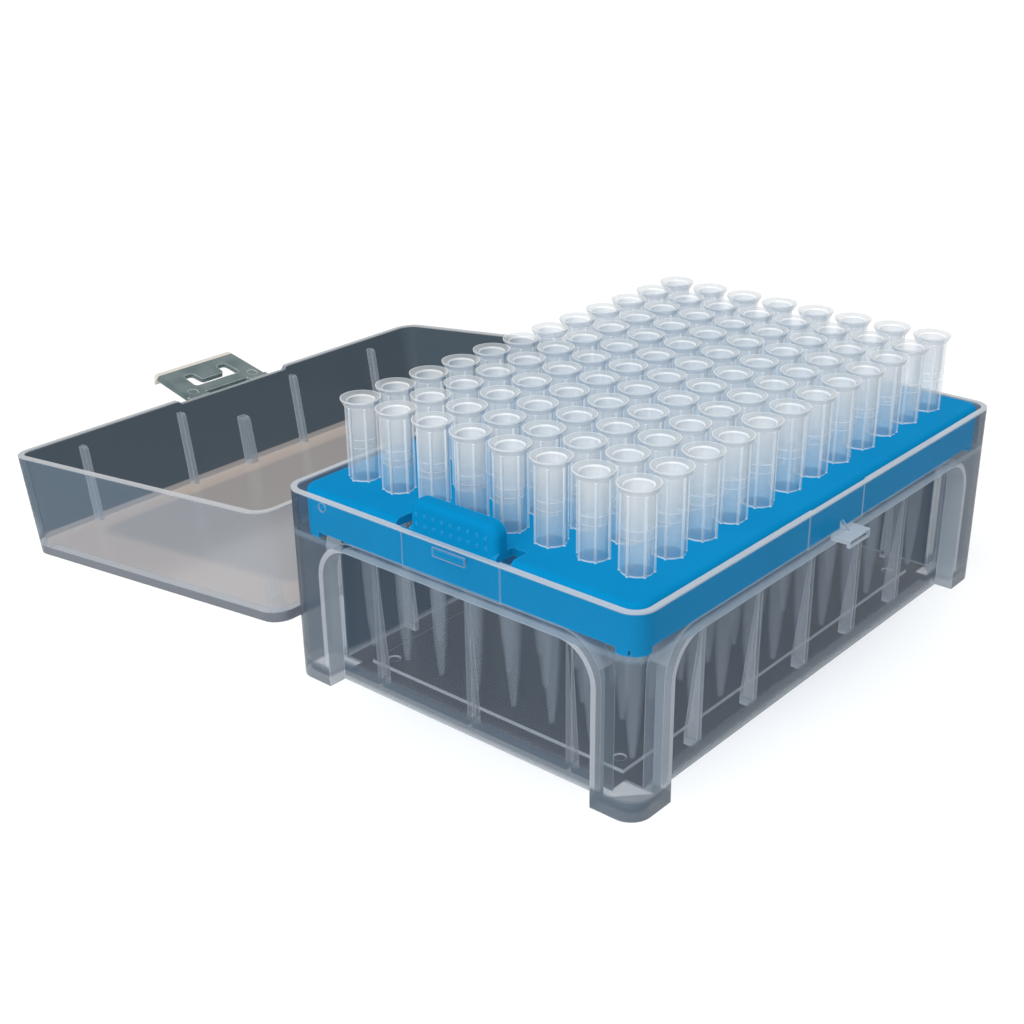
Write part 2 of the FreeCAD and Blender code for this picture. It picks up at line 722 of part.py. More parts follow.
def add_lugs(body):
    """Lugs under the skirt's corners, which drop into the base's corner columns.

    Each corner has one strip round it, split in two by a slit.
    """
    strips = new_sketch(body, "XY_Plane", f"{LEDGE_TOP} - sizes.lug_drop")
    corners = (
        (RACK_LEFT, RACK_FRONT, "+", "+"),
        (RACK_RIGHT, RACK_FRONT, "-", "+"),
        (RACK_LEFT, RACK_BACK, "+", "-"),
        (RACK_RIGHT, RACK_BACK, "-", "-"),
    )
    for x, y, inward_x, inward_y in corners:
        end_x = f"{x} {inward_x} sizes.lug_length_x"
        end_y = f"{y} {inward_y} sizes.lug_length_y"
        inner_x = f"{x} {inward_x} sizes.rack_wall"
        inner_y = f"{y} {inward_y} sizes.rack_wall"
        draw_outline(
            strips,
            [
                (x, end_y),
                (x, y, "sizes.rack_corner_radius"),
                (end_x, y),
                (end_x, inner_y),
                (inner_x, inner_y, "sizes.rack_corner_radius - sizes.rack_wall"),
                (inner_x, end_y),
            ],
        )
    pad(body, strips, "sizes.lug_drop + sizes.bury")

    slits = new_sketch(body, "XY_Plane", LEDGE_TOP)
    for x, y, inward_x, inward_y in corners:
        near = f"{y} {inward_y} sizes.lug_slit_inset"
        far = f"{near} {inward_y} sizes.lug_slit_width"
        draw_rectangle(slits, x, near, f"{x} {inward_x} sizes.rack_corner_radius", far)
    pocket(body, slits, "sizes.lug_drop + sizes.past")


def add_grip(body):
    """Grip with two rows of dots between two slots, and the catch that holds the rack down."""
    grip = new_sketch(body, "YZ_Plane", RACK_LEFT)
    top = f"({PLATE_TOP} + sizes.grip_rise)"
    draw_outline(
        grip,
        [
            ("-sizes.grip_width / 2", f"{PLATE_TOP} - sizes.rack_plate"),
            ("sizes.grip_width / 2", f"{PLATE_TOP} - sizes.rack_plate"),
            ("sizes.grip_width / 2", top, "sizes.grip_corner_radius"),
            ("-sizes.grip_width / 2", top, "sizes.grip_corner_radius"),
        ],
    )
    pad(body, grip, "sizes.grip_thickness")
    left = number(RACK_LEFT)
    lowest = number(f"{top} - sizes.grip_corner_radius") - CLOSE

    def is_front_edge(edge):
        box = edge.BoundBox
        return abs(box.XMin - left) < CLOSE and abs(box.XMax - left) < CLOSE and box.ZMin > lowest

    fillet(body, "sizes.grip_edge_radius", is_front_edge)

    slot = new_sketch(body, "XY_Plane", f"{PLATE_TOP} - sizes.rack_plate")
    draw_rectangle(
        slot,
        f"{RACK_LEFT} - sizes.past",
        "sizes.grip_width / 2",
        f"{RACK_LEFT} + sizes.grip_slot_depth",
        "sizes.grip_width / 2 + sizes.grip_slot_width",
    )
    cut = pocket(body, slot, "sizes.rack_height", reverse=True)
    mirror(body, [cut], "XZ_Plane")

    dots = new_sketch(body, "YZ_Plane", f"{RACK_LEFT} - sizes.grip_dot_height")
    for index in range(round(number("sizes.grip_dot_rows"))):
        draw_circle(
            dots,
            "-sizes.grip_dot_spacing * (sizes.grip_dot_count - 1) / 2",
            f"{PLATE_TOP} + sizes.grip_dot_rise + {index} * sizes.grip_dot_row_spacing",
            "sizes.grip_dot_diameter / 2",
        )
    raised = pad(body, dots, "sizes.grip_dot_height + sizes.grip_thickness / 2")
    row(body, [raised], "Y_Axis", "sizes.grip_dot_spacing", "sizes.grip_dot_count")

    catch = new_sketch(body, "YZ_Plane", f"-{BASE_IN_X} - sizes.catch_reach")
    middle = f"({PLATE_TOP} - sizes.catch_drop)"
    draw_rectangle(
        catch,
        "-sizes.catch_width / 2",
        f"{middle} - sizes.catch_thickness / 2",
        "sizes.catch_width / 2",
        f"{middle} + sizes.catch_thickness / 2",
    )
    pad(body, catch, "sizes.catch_reach + sizes.rack_gap_grip + sizes.rack_wall / 2")


# --------------------------------------------------------------------------- tips
def build_tip():
    """One tip with its shoulder at the origin: dished lip, ribbed body, neck and long cone."""
    body = new_body("tip")
    lip = "sizes.tip_lip_diameter / 2"
    mouth = "sizes.tip_mouth_diameter / 2"
    outer = "sizes.tip_body_diameter / 2"
    bore = "sizes.tip_bore_diameter / 2"
    cone = "sizes.tip_cone_diameter / 2"
    point = "sizes.tip_point_diameter / 2"
    end = "sizes.tip_end_diameter / 2"
    top = "sizes.tip_above_plate"
    under_lip = f"({top} - sizes.tip_lip_height - sizes.tip_lip_chamfer)"
    neck_end = "(-sizes.tip_cone_depth)"
    point_start = "(-sizes.tip_below_plate + sizes.tip_point_length)"
    profile = new_sketch(body, "XZ_Plane")
    draw_outline(
        profile,
        [
            ("sizes.tip_dish_diameter / 2", f"{top} - sizes.tip_dish_depth"),
            (f"{lip} - sizes.tip_rim_width", top),
            (lip, top),
            (lip, f"{top} - sizes.tip_lip_height"),
            (f"{outer} + sizes.tip_rib_stand + sizes.tip_lip_overhang", under_lip),
            (outer, under_lip),
            (outer, "0"),
            (NECK_RADIUS, "0"),
            (cone, neck_end),
            (point, point_start),
            (end, "-sizes.tip_below_plate"),
            (f"{end} / 2", "-sizes.tip_below_plate"),
            (f"{point} - sizes.tip_wall", point_start),
            (f"{cone} - sizes.tip_wall", neck_end),
            (bore, "0"),
            (f"{bore} + sizes.tip_bore_step", "0"),
            (f"{mouth} - 2 * sizes.tip_ring_step", "sizes.tip_lower_ring_height"),
            (f"{mouth} - sizes.tip_ring_step", "sizes.tip_lower_ring_height"),
            (f"{mouth} - sizes.tip_ring_step", "sizes.tip_upper_ring_height"),
            (mouth, "sizes.tip_upper_ring_height"),
            (mouth, f"{top} - sizes.tip_mouth_depth"),
        ],
    )
    revolution = body.newObject("PartDesign::Revolution", "tip_revolution")
    revolution.Profile = profile
    revolution.ReferenceAxis = (profile, ["V_Axis"])
    revolution.Angle = 360
    finish(body, revolution)

    rib = new_sketch(body, "XY_Plane")
    rib_radius = "sizes.tip_rib_diameter / 2"
    draw_circle(rib, f"{outer} + sizes.tip_rib_stand - {rib_radius}", "0", rib_radius)
    raised = pad(body, rib, f"{under_lip} + sizes.tip_lip_chamfer / 2")
    around = body.newObject("PartDesign::PolarPattern", "tip_ribs")
    around.Originals = [raised]
    support = next(item for item in body.Origin.OriginFeatures if item.Role == "Z_Axis")
    around.Axis = (support, [""])
    around.Angle = 360
    around.setExpression("Occurrences", "sizes.tip_rib_count")
    finish(body, around)
    return body


def build_tip_columns(tip):
    """One sub-part for each column of tips, as a multichannel pipette picks them up.

    Tips stand turned anyhow in their holes, so each is turned on from the one before it.
    """
    columns = []
    rows = round(number("sizes.tip_rows"))
    for column in range(round(number("sizes.tip_columns"))):
        tips = []
        for index in range(rows):
            link = doc.addObject("App::Link", f"tip_{column + 1}_{index + 1}")
            link.LinkedObject = tip
            link.setExpression("Placement.Base.y", f"{GRID_Y} - {index} * sizes.tip_pitch")
            link.setExpression("Placement.Base.z", PLATE_TOP)
            turn = f"{column * rows + index} * sizes.tip_turn"
            link.setExpression("Placement.Rotation.Angle", turn)
            tips.append(link)
        name = f"tip_column_{column + 1:02d}"
        group = doc.addObject("Part::Compound", name)
        group.Label = name
        group.Links = tips
        group.setExpression("Placement.Base.x", f"{column} * sizes.tip_pitch - {GRID_X}")
        columns.append(group)
    doc.recompute()
    return columns


# --------------------------------------------------------------------------- lid
def build_lid():
    """Clear lid drawn closed about its hinge axis, then swung open onto the table."""
    body = new_body("lid")
    front = f"(-{LID_Y} - {HINGE_Y})"
    back = f"({LID_Y} - {HINGE_Y})"
    rim = f"({LID_RIM} - {HINGE_Z})"

    outside = new_sketch(body, "XY_Plane", rim)
    draw_rectangle(outside, minus(LID_X), front, LID_X, back, "sizes.lid_corner_radius")
    pad(body, outside, LID_HEIGHT, taper="-sizes.lid_draft")
    lid_top = number(f"{rim} + {LID_HEIGHT}")
    fillet(body, "sizes.lid_ridge_radius", lambda edge: lies_at(edge, lid_top))

    inside = new_sketch(body, "XY_Plane", rim)
    draw_rectangle(
        inside,
        minus(LID_IN_X),
        f"{front} + sizes.lid_wall",
        LID_IN_X,
        f"{back} - sizes.lid_wall",
        "sizes.lid_corner_radius - sizes.lid_wall",
    )
    pocket(body, inside, LID_INSIDE, reverse=True, taper="-sizes.lid_draft")

    ridge = new_sketch(body, "XY_Plane", f"{rim} + {LID_HEIGHT}")
    inset = f"({LID_SHRINK} + sizes.lid_ridge_wall)"
    draw_rectangle(
        ridge,
        f"-{LID_X} + {inset}",
        f"{front} + {inset}",
        f"{LID_X} - {inset}",
        f"{back} - {inset}",
        f"sizes.lid_corner_radius - {inset}",
    )
    pocket(body, ridge, "sizes.lid_ridge_height")

    add_lid_ribs(body, front, rim)
    add_lid_notch(body, rim)
    add_knuckles(body, back, rim)

    body.setExpression("Placement.Base.y", HINGE_Y)
    body.setExpression("Placement.Base.z", HINGE_Z)
    swing_open(body, OPEN_ANGLE)
    return body


def add_lid_ribs(body, front, rim):
    """Ribs inside the latch wall: four that seat on the base's rim and a short one between."""
    wall = f"({front} + sizes.lid_wall)"
    deep = f"({rim} + {LID_INSIDE})"
    lean = f"({LID_INSIDE} * tan(sizes.lid_draft * 1deg))"
    seat = f"({rim} + sizes.lid_overlap + sizes.lid_rib_seat_gap)"
    added = []
    for spacing in ("sizes.lid_rib_outer_spacing", "sizes.lid_rib_inner_spacing"):
        rib = new_sketch(body, "YZ_Plane", f"({spacing} - sizes.lid_rib_thickness) / 2")
        draw_rib(rib, wall, "sizes.lid_rib_reach", seat, deep, lean)
        added.append(pad(body, rib, "sizes.lid_rib_thickness"))
    mirror(body, added, "YZ_Plane")

    middle = new_sketch(body, "YZ_Plane")
    low = f"({rim} + sizes.lid_middle_rib_drop)"
    draw_rib(middle, wall, "sizes.lid_middle_rib_reach", low, deep, lean)
    pad(body, middle, "sizes.lid_middle_rib_thickness", both_ways=True)


def draw_rib(sketch, wall, reach, low, deep, lean):
    """Outline of a rib that follows the lid's leaning wall down to its plate."""
    draw_outline(
        sketch,
        [
            (f"{wall} - sizes.lid_wall / 2", low),
            (f"{wall} + {reach}", low, f"{reach} / 2"),
            (f"{wall} + {reach} + {lean}", f"{deep} + sizes.lid_plate / 2"),
            (f"{wall} - sizes.lid_wall / 2 + {lean}", f"{deep} + sizes.lid_plate / 2"),
        ],
    )


def add_lid_notch(body, rim):
    """Shallow notch in the rim of the latch wall, with sloping ends."""
    notch = new_sketch(body, "XZ_Plane", f"{HINGE_Y} + {LID_Y} + sizes.past")
    half = "(sizes.lid_notch_width / 2)"
    draw_outline(
        notch,
        [
            (f"-{half} - sizes.lid_notch_depth", f"{rim} - sizes.past"),
            (f"{half} + sizes.lid_notch_depth", f"{rim} - sizes.past"),
            (f"{half} + sizes.lid_notch_depth", rim),
            (half, f"{rim} + sizes.lid_notch_depth"),
            (minus(half), f"{rim} + sizes.lid_notch_depth"),
            (f"-{half} - sizes.lid_notch_depth", rim),
        ],
    )
    pocket(body, notch, "sizes.lid_wall + 2 * sizes.past")


def add_knuckles(body, back, rim):
    """Clipped-on knuckles that turn on the base's pins, each on an arm from the lid's wall."""
    start = f"{STATION} - sizes.knuckle_width / 2"
    ring = new_sketch(body, "YZ_Plane", start)
    draw_circle(ring, "0", "0", KNUCKLE_RADIUS)
    tube = pad(body, ring, "sizes.knuckle_width")
    arm = new_sketch(body, "YZ_Plane", start)
    draw_outline(
        arm,
        [
            ("0", "0"),
            (f"{KNUCKLE_RADIUS} * cos(45deg)", f"{KNUCKLE_RADIUS} * sin(45deg)"),
            (back, f"{rim} + sizes.knuckle_arm_height"),
            (f"{back} - sizes.lid_wall / 2", f"{rim} + sizes.knuckle_arm_height"),
            (f"{back} - sizes.lid_wall / 2", rim),
        ],
    )
    web = pad(body, arm, "sizes.knuckle_width")
    mirror(body, [tube, web], "YZ_Plane")

    bore = new_sketch(body, "YZ_Plane", f"{start} - sizes.past")
    draw_circle(bore, "0", "0", BORE_RADIUS)
    hole = pocket(body, bore, "sizes.knuckle_width + 2 * sizes.past", reverse=True)
    mouth = new_sketch(body, "YZ_Plane", f"{start} - sizes.past")
    draw_rectangle(
        mouth,
        "0",
        "-sizes.knuckle_mouth / 2",
        f"{KNUCKLE_RADIUS} + sizes.past",
        "sizes.knuckle_mouth / 2",
    )
    opening = pocket(body, mouth, "sizes.knuckle_width + 2 * sizes.past", reverse=True)
    mirror(body, [hole, opening], "YZ_Plane")


# --------------------------------------------------------------------------- latch clip
def build_clip():
    """Clip drawn hanging from its own axis, then swung out and carried round with the lid."""
    body = new_body("latch_clip")
    half = "(sizes.clip_width / 2)"
    tail = f"({half} - sizes.clip_taper)"
    foot = "(-sizes.clip_length)"

    plate = new_sketch(body, "XZ_Plane", CLIP_IN)
    draw_outline(
        plate,
        [
            (minus(half), "-sizes.clip_root"),
            (minus(tail), foot, "sizes.clip_corner_radius"),
            (tail, foot, "sizes.clip_corner_radius"),
            (half, "-sizes.clip_root"),
        ],
    )
    pad(body, plate, "sizes.clip_thickness")
    lip = new_sketch(body, "XZ_Plane", CLIP_IN)
    draw_outline(
        lip,
        [
            (minus(tail), f"{foot} + sizes.clip_lip_length"),
            (minus(tail), foot, "sizes.clip_corner_radius"),
            (tail, foot, "sizes.clip_corner_radius"),
            (tail, f"{foot} + sizes.clip_lip_length"),
        ],
    )
    pad(body, lip, "sizes.clip_thickness + sizes.clip_lip_height")
    inner, bottom = -number(CLIP_IN), number(foot)

    def is_lip_edge(edge):
        return lies_at(edge, bottom) and abs(edge.BoundBox.YMin - inner) < CLOSE

    fillet(body, "sizes.clip_lip_radius", is_lip_edge)

    add_clip_webs(body, half)
    add_clip_slot(body, foot)

    mark = new_sketch(body, "XZ_Plane", CLIP_IN)
    draw_circle(
        mark, "sizes.clip_mark_spacing / 2", "-sizes.clip_mark_drop", "sizes.clip_mark_diameter / 2"
    )
    cut = pocket(body, mark, "sizes.clip_mark_depth", reverse=True)
    mirror(body, [cut], "YZ_Plane")

    across = f"({CLIP_AXIS_Y} + {HINGE_Y})"
    above = f"({CLIP_AXIS_Z} - {HINGE_Z})"
    turn = f"({OPEN_ANGLE} * 1deg)"
    body.setExpression("Placement.Base.y", f"{HINGE_Y} - {across} * cos{turn} + {above} * sin{turn}")
    body.setExpression("Placement.Base.z", f"{HINGE_Z} + {across} * sin{turn} + {above} * cos{turn}")
    swing_open(body, f"{OPEN_ANGLE} + sizes.clip_rest_swing")
    return body


def add_clip_webs(body, half):
    """Thin webs that the clip bends on, one each side of a notch."""
    web_radius = "(sizes.clip_web_thickness / 2)"
    bend = new_sketch(body, "YZ_Plane")
    draw_circle(bend, "0", "0", web_radius)
    pad(body, bend, f"2 * {half}", both_ways=True)
    strip = new_sketch(body, "YZ_Plane")
    reach = "-sizes.clip_root - sizes.bury"
    draw_rectangle(strip, minus(web_radius), reach, minus(CLIP_IN), "0")
    pad(body, strip, f"2 * {half}", both_ways=True)
    notch = new_sketch(body, "XZ_Plane", f"{CLIP_OUT} + sizes.past")
    draw_rectangle(
        notch,
        "-sizes.clip_web_spacing / 2",
        "-sizes.clip_root - sizes.clip_notch_depth",
        "sizes.clip_web_spacing / 2",
        f"{web_radius} + sizes.past",
    )
    pocket(body, notch, "sizes.clip_thickness + 2 * sizes.past")


def add_clip_slot(body, foot):
    """U-shaped slot for the hook, round a tongue that springs under it."""
    slot = new_sketch(body, "XZ_Plane", f"{CLIP_OUT} + sizes.past")
    wide = "(sizes.clip_slot_width / 2)"
    tongue = "(sizes.clip_tongue_width / 2)"
    root = f"(-{TONGUE_END} - sizes.clip_tongue_length)"
    radius = "sizes.clip_slot_radius"
    draw_outline(
        slot,
        [
            (minus(wide), minus(SLOT_TOP), radius),
            (f"-{wide} + sizes.clip_slot_taper", root, radius),
            (f"-{tongue} - sizes.clip_slot_taper", root, radius),
            (minus(tongue), minus(TONGUE_END), radius),
            (tongue, minus(TONGUE_END), radius),
            (f"{tongue} + sizes.clip_slot_taper", root, radius),
            (f"{wide} - sizes.clip_slot_taper", root, radius),
            (wide, minus(SLOT_TOP), radius),
        ],
    )
    pocket(body, slot, "sizes.clip_thickness + 2 * sizes.past")


# --------------------------------------------------------------------------- build and export
def swing_open(body, angle):
    """Turn a body about the X axis, from its closed place towards the hinge side."""
    body.setExpression("Placement.Rotation.Axis.x", "1")
    body.setExpression("Placement.Rotation.Axis.z", "0")
    body.setExpression("Placement.Rotation.Angle", f"-({angle})")
    doc.recompute()


def export(parts):
    """Check every object and every sub-part's shape, then write one STEP file for each."""
    doc.recompute()
    for item in doc.Objects:
        if "Invalid" in item.State or "Error" in item.State:
            raise RuntimeError(f"{item.Name} failed to recompute")
    for part in parts:
        shape = part.Shape
        if shape.isNull() or not shape.isValid() or not shape.Solids:
            raise RuntimeError(f"{part.Label} has no valid solid")
    for part in parts:
        part.Shape.exportStep(f"parts/{part.Label}.step")
        print(part.Label, len(part.Shape.Solids), "solids", round(part.Shape.Volume, 1), "cubic mm")


def main():
    """Build every sub-part and write its file."""
    base = build_base()
    rack = build_rack()
    columns = build_tip_columns(build_tip())
    lid = build_lid()
    clip = build_clip()
    export([base, rack, lid, clip] + columns)
    print("hinge axis y", round(number(HINGE_Y), 3), "z", round(number(HINGE_Z), 3))
    print("lid opens", round(number(OPEN_ANGLE), 3), "degrees")
    print("clip axis y", round(clip.Placement.Base.y, 3), "z", round(clip.Placement.Base.z, 3))


main()
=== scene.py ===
"""Dressed model of a hinged box of pipette tips: clear shell, blue rack, frosted tips, lid lying open."""

import json
import logging
from dataclasses import dataclass, field
from enum import Enum
from math import cos, radians, sin

import bpy
from mathutils import Matrix, Vector

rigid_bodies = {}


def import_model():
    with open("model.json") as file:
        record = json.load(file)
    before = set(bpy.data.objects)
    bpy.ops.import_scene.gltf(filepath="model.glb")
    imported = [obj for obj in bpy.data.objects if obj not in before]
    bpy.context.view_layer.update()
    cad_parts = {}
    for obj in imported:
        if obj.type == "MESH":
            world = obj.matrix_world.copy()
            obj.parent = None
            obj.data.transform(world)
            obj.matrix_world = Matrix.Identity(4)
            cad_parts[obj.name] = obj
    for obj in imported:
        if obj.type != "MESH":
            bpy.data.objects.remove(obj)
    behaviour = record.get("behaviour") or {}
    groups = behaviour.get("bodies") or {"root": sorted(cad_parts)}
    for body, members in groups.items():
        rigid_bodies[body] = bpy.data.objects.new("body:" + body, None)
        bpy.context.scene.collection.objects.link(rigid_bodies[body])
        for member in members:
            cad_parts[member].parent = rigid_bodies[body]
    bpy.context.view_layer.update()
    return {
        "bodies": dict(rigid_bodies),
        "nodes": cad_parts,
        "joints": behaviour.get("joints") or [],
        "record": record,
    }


LOG = logging.getLogger("tip_box")

Colour = tuple[float, float, float]
Place = tuple[float, float, float]
Socket = bpy.types.NodeSocket

# Sockets of the Mix node that carry colour.
MIX_FIRST = 6
MIX_SECOND = 7
MIX_RESULT = 2

# Likeness of a rounded normal to the face's own: where edge light starts, and where it is full.
EDGE_FLAT = 0.97
EDGE_SHARP = 0.86


class Face(Enum):
    """Which faces of an open box a finish is for."""

    ANY = "any"
    OUTSIDE = "outside"
    INSIDE = "inside"


class Wiring:
    """Small maker of shader nodes for one material or world."""

    def __init__(self, owner: bpy.types.Material | bpy.types.World) -> None:
        """Start an empty node tree.

        Args:
            owner: Material or world that the nodes are for.
        """
        owner.use_nodes = True
        self.owner = owner
        self.tree = owner.node_tree
        self.tree.nodes.clear()

    @classmethod
    def material(cls, name: str) -> "Wiring":
        """Start a new material.

        Args:
            name: Name of the material.

        Returns:
            Maker of its nodes.
        """
        return cls(bpy.data.materials.new(name))

    def node(self, kind: str, **settings: object) -> bpy.types.Node:
        """Add a node.

        Args:
            kind: Blender's name for the node type.
            settings: Properties to set on it.

        Returns:
            The new node.
        """
        made = self.tree.nodes.new(kind)
        for key, value in settings.items():
            setattr(made, key, value)
        return made

    def feed(self, socket: Socket, value: object) -> None:
        """Link a socket to another socket, or set its plain value.

        Args:
            socket: Input to feed.
            value: An output socket, a number, a colour or a vector.
        """
        if isinstance(value, bpy.types.NodeSocket):
            self.tree.links.new(value, socket)
        elif isinstance(value, tuple) and len(value) == 3 and socket.type == "RGBA":
            socket.default_value = (*value, 1.0)
        else:
            socket.default_value = value

    def maths(self, operation: str, first: object, second: object = 0.0,
              clamp: bool = False) -> Socket:
        """Work out one number from two.

        Args:
            operation: Name of the Math node's operation.
            first: First number or socket.
            second: Second number or socket.
            clamp: Whether to keep the result between 0 and 1.

        Returns:
            The result's socket.
        """
        made = self.node("ShaderNodeMath", operation=operation, use_clamp=clamp)
        self.feed(made.inputs[0], first)
        self.feed(made.inputs[1], second)
        return made.outputs[0]

    def vector(self, operation: str, first: object, second: object) -> bpy.types.Node:
        """Work with two vectors.

        Args:
            operation: Name of the Vector Math node's operation.
            first: First vector or socket.
            second: Second vector or socket.

        Returns:
            The node, whose outputs hold the result.
        """
        made = self.node("ShaderNodeVectorMath", operation=operation)
        self.feed(made.inputs[0], first)
        self.feed(made.inputs[1], second)
        return made

    def spread(self, value: object, low: float, high: float, start: float = 0.0,
               end: float = 1.0) -> Socket:
        """Carry a number smoothly from one range to another.

        Args:
            value: The number's socket.
            low: Value that gives start.
            high: Value that gives end.
            start: Result at low.
            end: Result at high.

        Returns:
            The result's socket.
        """
        made = self.node("ShaderNodeMapRange", interpolation_type="SMOOTHSTEP")
        for socket, given in zip(made.inputs, (value, low, high, start, end)):
            self.feed(socket, given)
        return made.outputs[0]

    def band(self, value: object, low: float, high: float, soft: float) -> Socket:
        """Share that is 1 between two values and fades past them.

        Args:
            value: The number's socket.
            low: Where the band starts.
            high: Where it ends.
            soft: Half the width of each fade.

        Returns:
            The share's socket.
        """
        rise = self.spread(value, low - soft, low + soft)
        fall = self.spread(value, high + soft, high - soft)
        return self.maths("MULTIPLY", rise, fall)

    def blend(self, share: object, first: object, second: object) -> Socket:
        """Blend two colours.

        Args:
            share: How much of the second shows.
            first: Colour or socket at 0.
            second: Colour or socket at 1.

        Returns:
            The colour's socket.
        """
        made = self.node("ShaderNodeMix", data_type="RGBA")
        self.feed(made.inputs["Factor"], share)
        self.feed(made.inputs[MIX_FIRST], first)
        self.feed(made.inputs[MIX_SECOND], second)
        return made.outputs[MIX_RESULT]

    def noise(self, scale: float, detail: float, place: object) -> Socket:
        """Soft random pattern on object coordinates.

        Args:
            scale: Cycles per metre.
            detail: Number of finer layers.
            place: Socket of the coordinates.

        Returns:
            The pattern's socket.
        """
        made = self.node("ShaderNodeTexNoise")
        self.feed(made.inputs["Vector"], place)
        self.feed(made.inputs["Scale"], scale)
        self.feed(made.inputs["Detail"], detail)
        return made.outputs["Fac"]

    def bump(self, height: object, strength: float, distance: float) -> Socket:
        """Turn a height into a surface normal.

        Args:
            height: Socket of the height.
            strength: How much of it shows.
            distance: Height in metres at a value of 1.

        Returns:
            The normal's socket.
        """
        made = self.node("ShaderNodeBump")
        self.feed(made.inputs["Strength"], strength)
        self.feed(made.inputs["Distance"], distance)
        self.feed(made.inputs["Height"], height)
        return made.outputs["Normal"]

    def edges(self, width: float, sharp: float = EDGE_SHARP) -> Socket:
        """Share of edge light: 1 on a sharp edge, 0 on a flat face.

        Args:
            width: How far from an edge it reaches.
            sharp: Likeness of the rounded normal to the face's at which it is full.

        Returns:
            The share's socket.
        """
        rounded = self.node("ShaderNodeBevel", samples=2)
        self.feed(rounded.inputs["Radius"], width)
        face = self.node("ShaderNodeNewGeometry").outputs["Normal"]
        likeness = self.vector("DOT_PRODUCT", rounded.outputs[0], face).outputs["Value"]
        return self.spread(likeness, EDGE_FLAT, sharp)

    def corner(self, first: object, second: object) -> Socket:
        """Distance from a corner: round where both values are past zero, straight elsewhere.

        Args:
            first: Distance past the corner one way.
            second: Distance past it the other way.

        Returns:
            The distance's socket.
        """
        squares = 0.0
        for value in (first, second):
            beyond = self.maths("MAXIMUM", value, 0.0)
            squares = self.maths("ADD", squares, self.maths("MULTIPLY", beyond, beyond))
        within = self.maths("MINIMUM", self.maths("MAXIMUM", first, second), 0.0)
        return self.maths("ADD", self.maths("SQRT", squares), within)

    def without(self, share: object) -> Socket:
        """Give what is left of 1 when a share is taken away."""
        return self.maths("SUBTRACT", 1.0, share)

    def stack(self, first: "Skin", layers: list) -> tuple[object, object]:
        """Lay skins over each other.

        Args:
            first: Skin at the bottom.
            layers: Pairs of a share's socket and the skin that shows there.

        Returns:
            Sockets of the colour and of the alpha.
        """
        colour, alpha = first.colour, first.alpha
        for share, skin in layers:
            colour = self.blend(share, colour, skin.colour)
            kept = self.maths("MULTIPLY", alpha, self.without(share))
            alpha = self.maths("ADD", kept, self.maths("MULTIPLY", share, skin.alpha))
        return colour, alpha

    def glaze(self, alpha: object, index: float, amount: float) -> Socket:
        """Make a clear face more solid at a slant, as gloss does.

        Args:
            alpha: Socket of how solid the face is.
            index: Refractive index.
            amount: How much of the gloss counts.

        Returns:
            The new alpha's socket.
        """
        gloss = self.node("ShaderNodeFresnel")
        self.feed(gloss.inputs["IOR"], index)
        shine = self.maths("MULTIPLY", gloss.outputs[0], amount)
        seen = self.maths("MULTIPLY", self.without(alpha), self.without(shine))
        return self.maths("SUBTRACT", 1.0, seen, clamp=True)

    def seen_rays(self) -> Socket:
        """Give 1 on rays that show a surface to the eye, in a mirror or through glass."""
        rays = self.node("ShaderNodeLightPath").outputs
        seen = self.maths("MAXIMUM", rays["Is Camera Ray"], rays["Is Glossy Ray"])
        return self.maths("MAXIMUM", seen, rays["Is Transmission Ray"])

    def plastic(self, settings: dict[str, object]) -> Socket:
        """Add the plastic's shader.

        Args:
            settings: Sockets or plain values by the shader's own input names.

        Returns:
            The shader's socket.
        """
        shader = self.node("ShaderNodeBsdfPrincipled")
        for name, value in settings.items():
            self.feed(shader.inputs[name], value)
        return shader.outputs[0]

    def close(self, shader: Socket) -> bpy.types.Material | bpy.types.World:
        """Join the shader to the output.

        Args:
            shader: Socket of the finished shader.

        Returns:
            The finished material or world.
        """
        world = isinstance(self.owner, bpy.types.World)
        output = self.node("ShaderNodeOutputWorld" if world else "ShaderNodeOutputMaterial")
        self.tree.links.new(shader, output.inputs["Surface"])
        return self.owner


@dataclass(frozen=True)
class Skin:
    """Tone of one kind of face.

    Attributes:
        colour: Linear colour.
        alpha: How solid it looks, from 0 for clear to 1.
    """

    colour: Colour
    alpha: float


@dataclass(frozen=True)
class Zone:
    """Band of a clear moulding with a skin of its own.

    Attributes:
        low: Height over the moulding's centre at which it starts.
        high: Height at which it ends.
        skin: What shows there.
        face: Which faces it is for.
        soft: Half the width of its fades.
    """

    low: float
    high: float
    skin: Skin
    face: Face = Face.ANY
    soft: float = 0.00015


@dataclass(frozen=True)
class Arches:
    """Recesses in the sides of a box, each between two corner columns and under a ledge.

    Attributes:
        column_length: Size of a column along the box.
        column_width: Size of a column across the box.
        top: Height over the box's centre at which a recess ends.
        radius: Radius of its upper corners.
        line: Width of the painted highlight line round it.
        skin: Skin of that line.
        nook: Skin inside the columns, a paler copy of the painted shade of inner faces.
        column_skin: Thickness of a column's inner face, which the nook takes in.
        line_soft: Half the width of the line's fades.
        nook_fade: Length over which the nook comes in.
        ledge_fade: Height over which it ends under the ledge.
    """

    column_length: float
    column_width: float
    top: float
    radius: float
    line: float
    skin: Skin
    nook: Skin
    column_skin: float = 0.0006
    line_soft: float = 0.0001
    nook_fade: float = 0.0002
    ledge_fade: float = 0.001


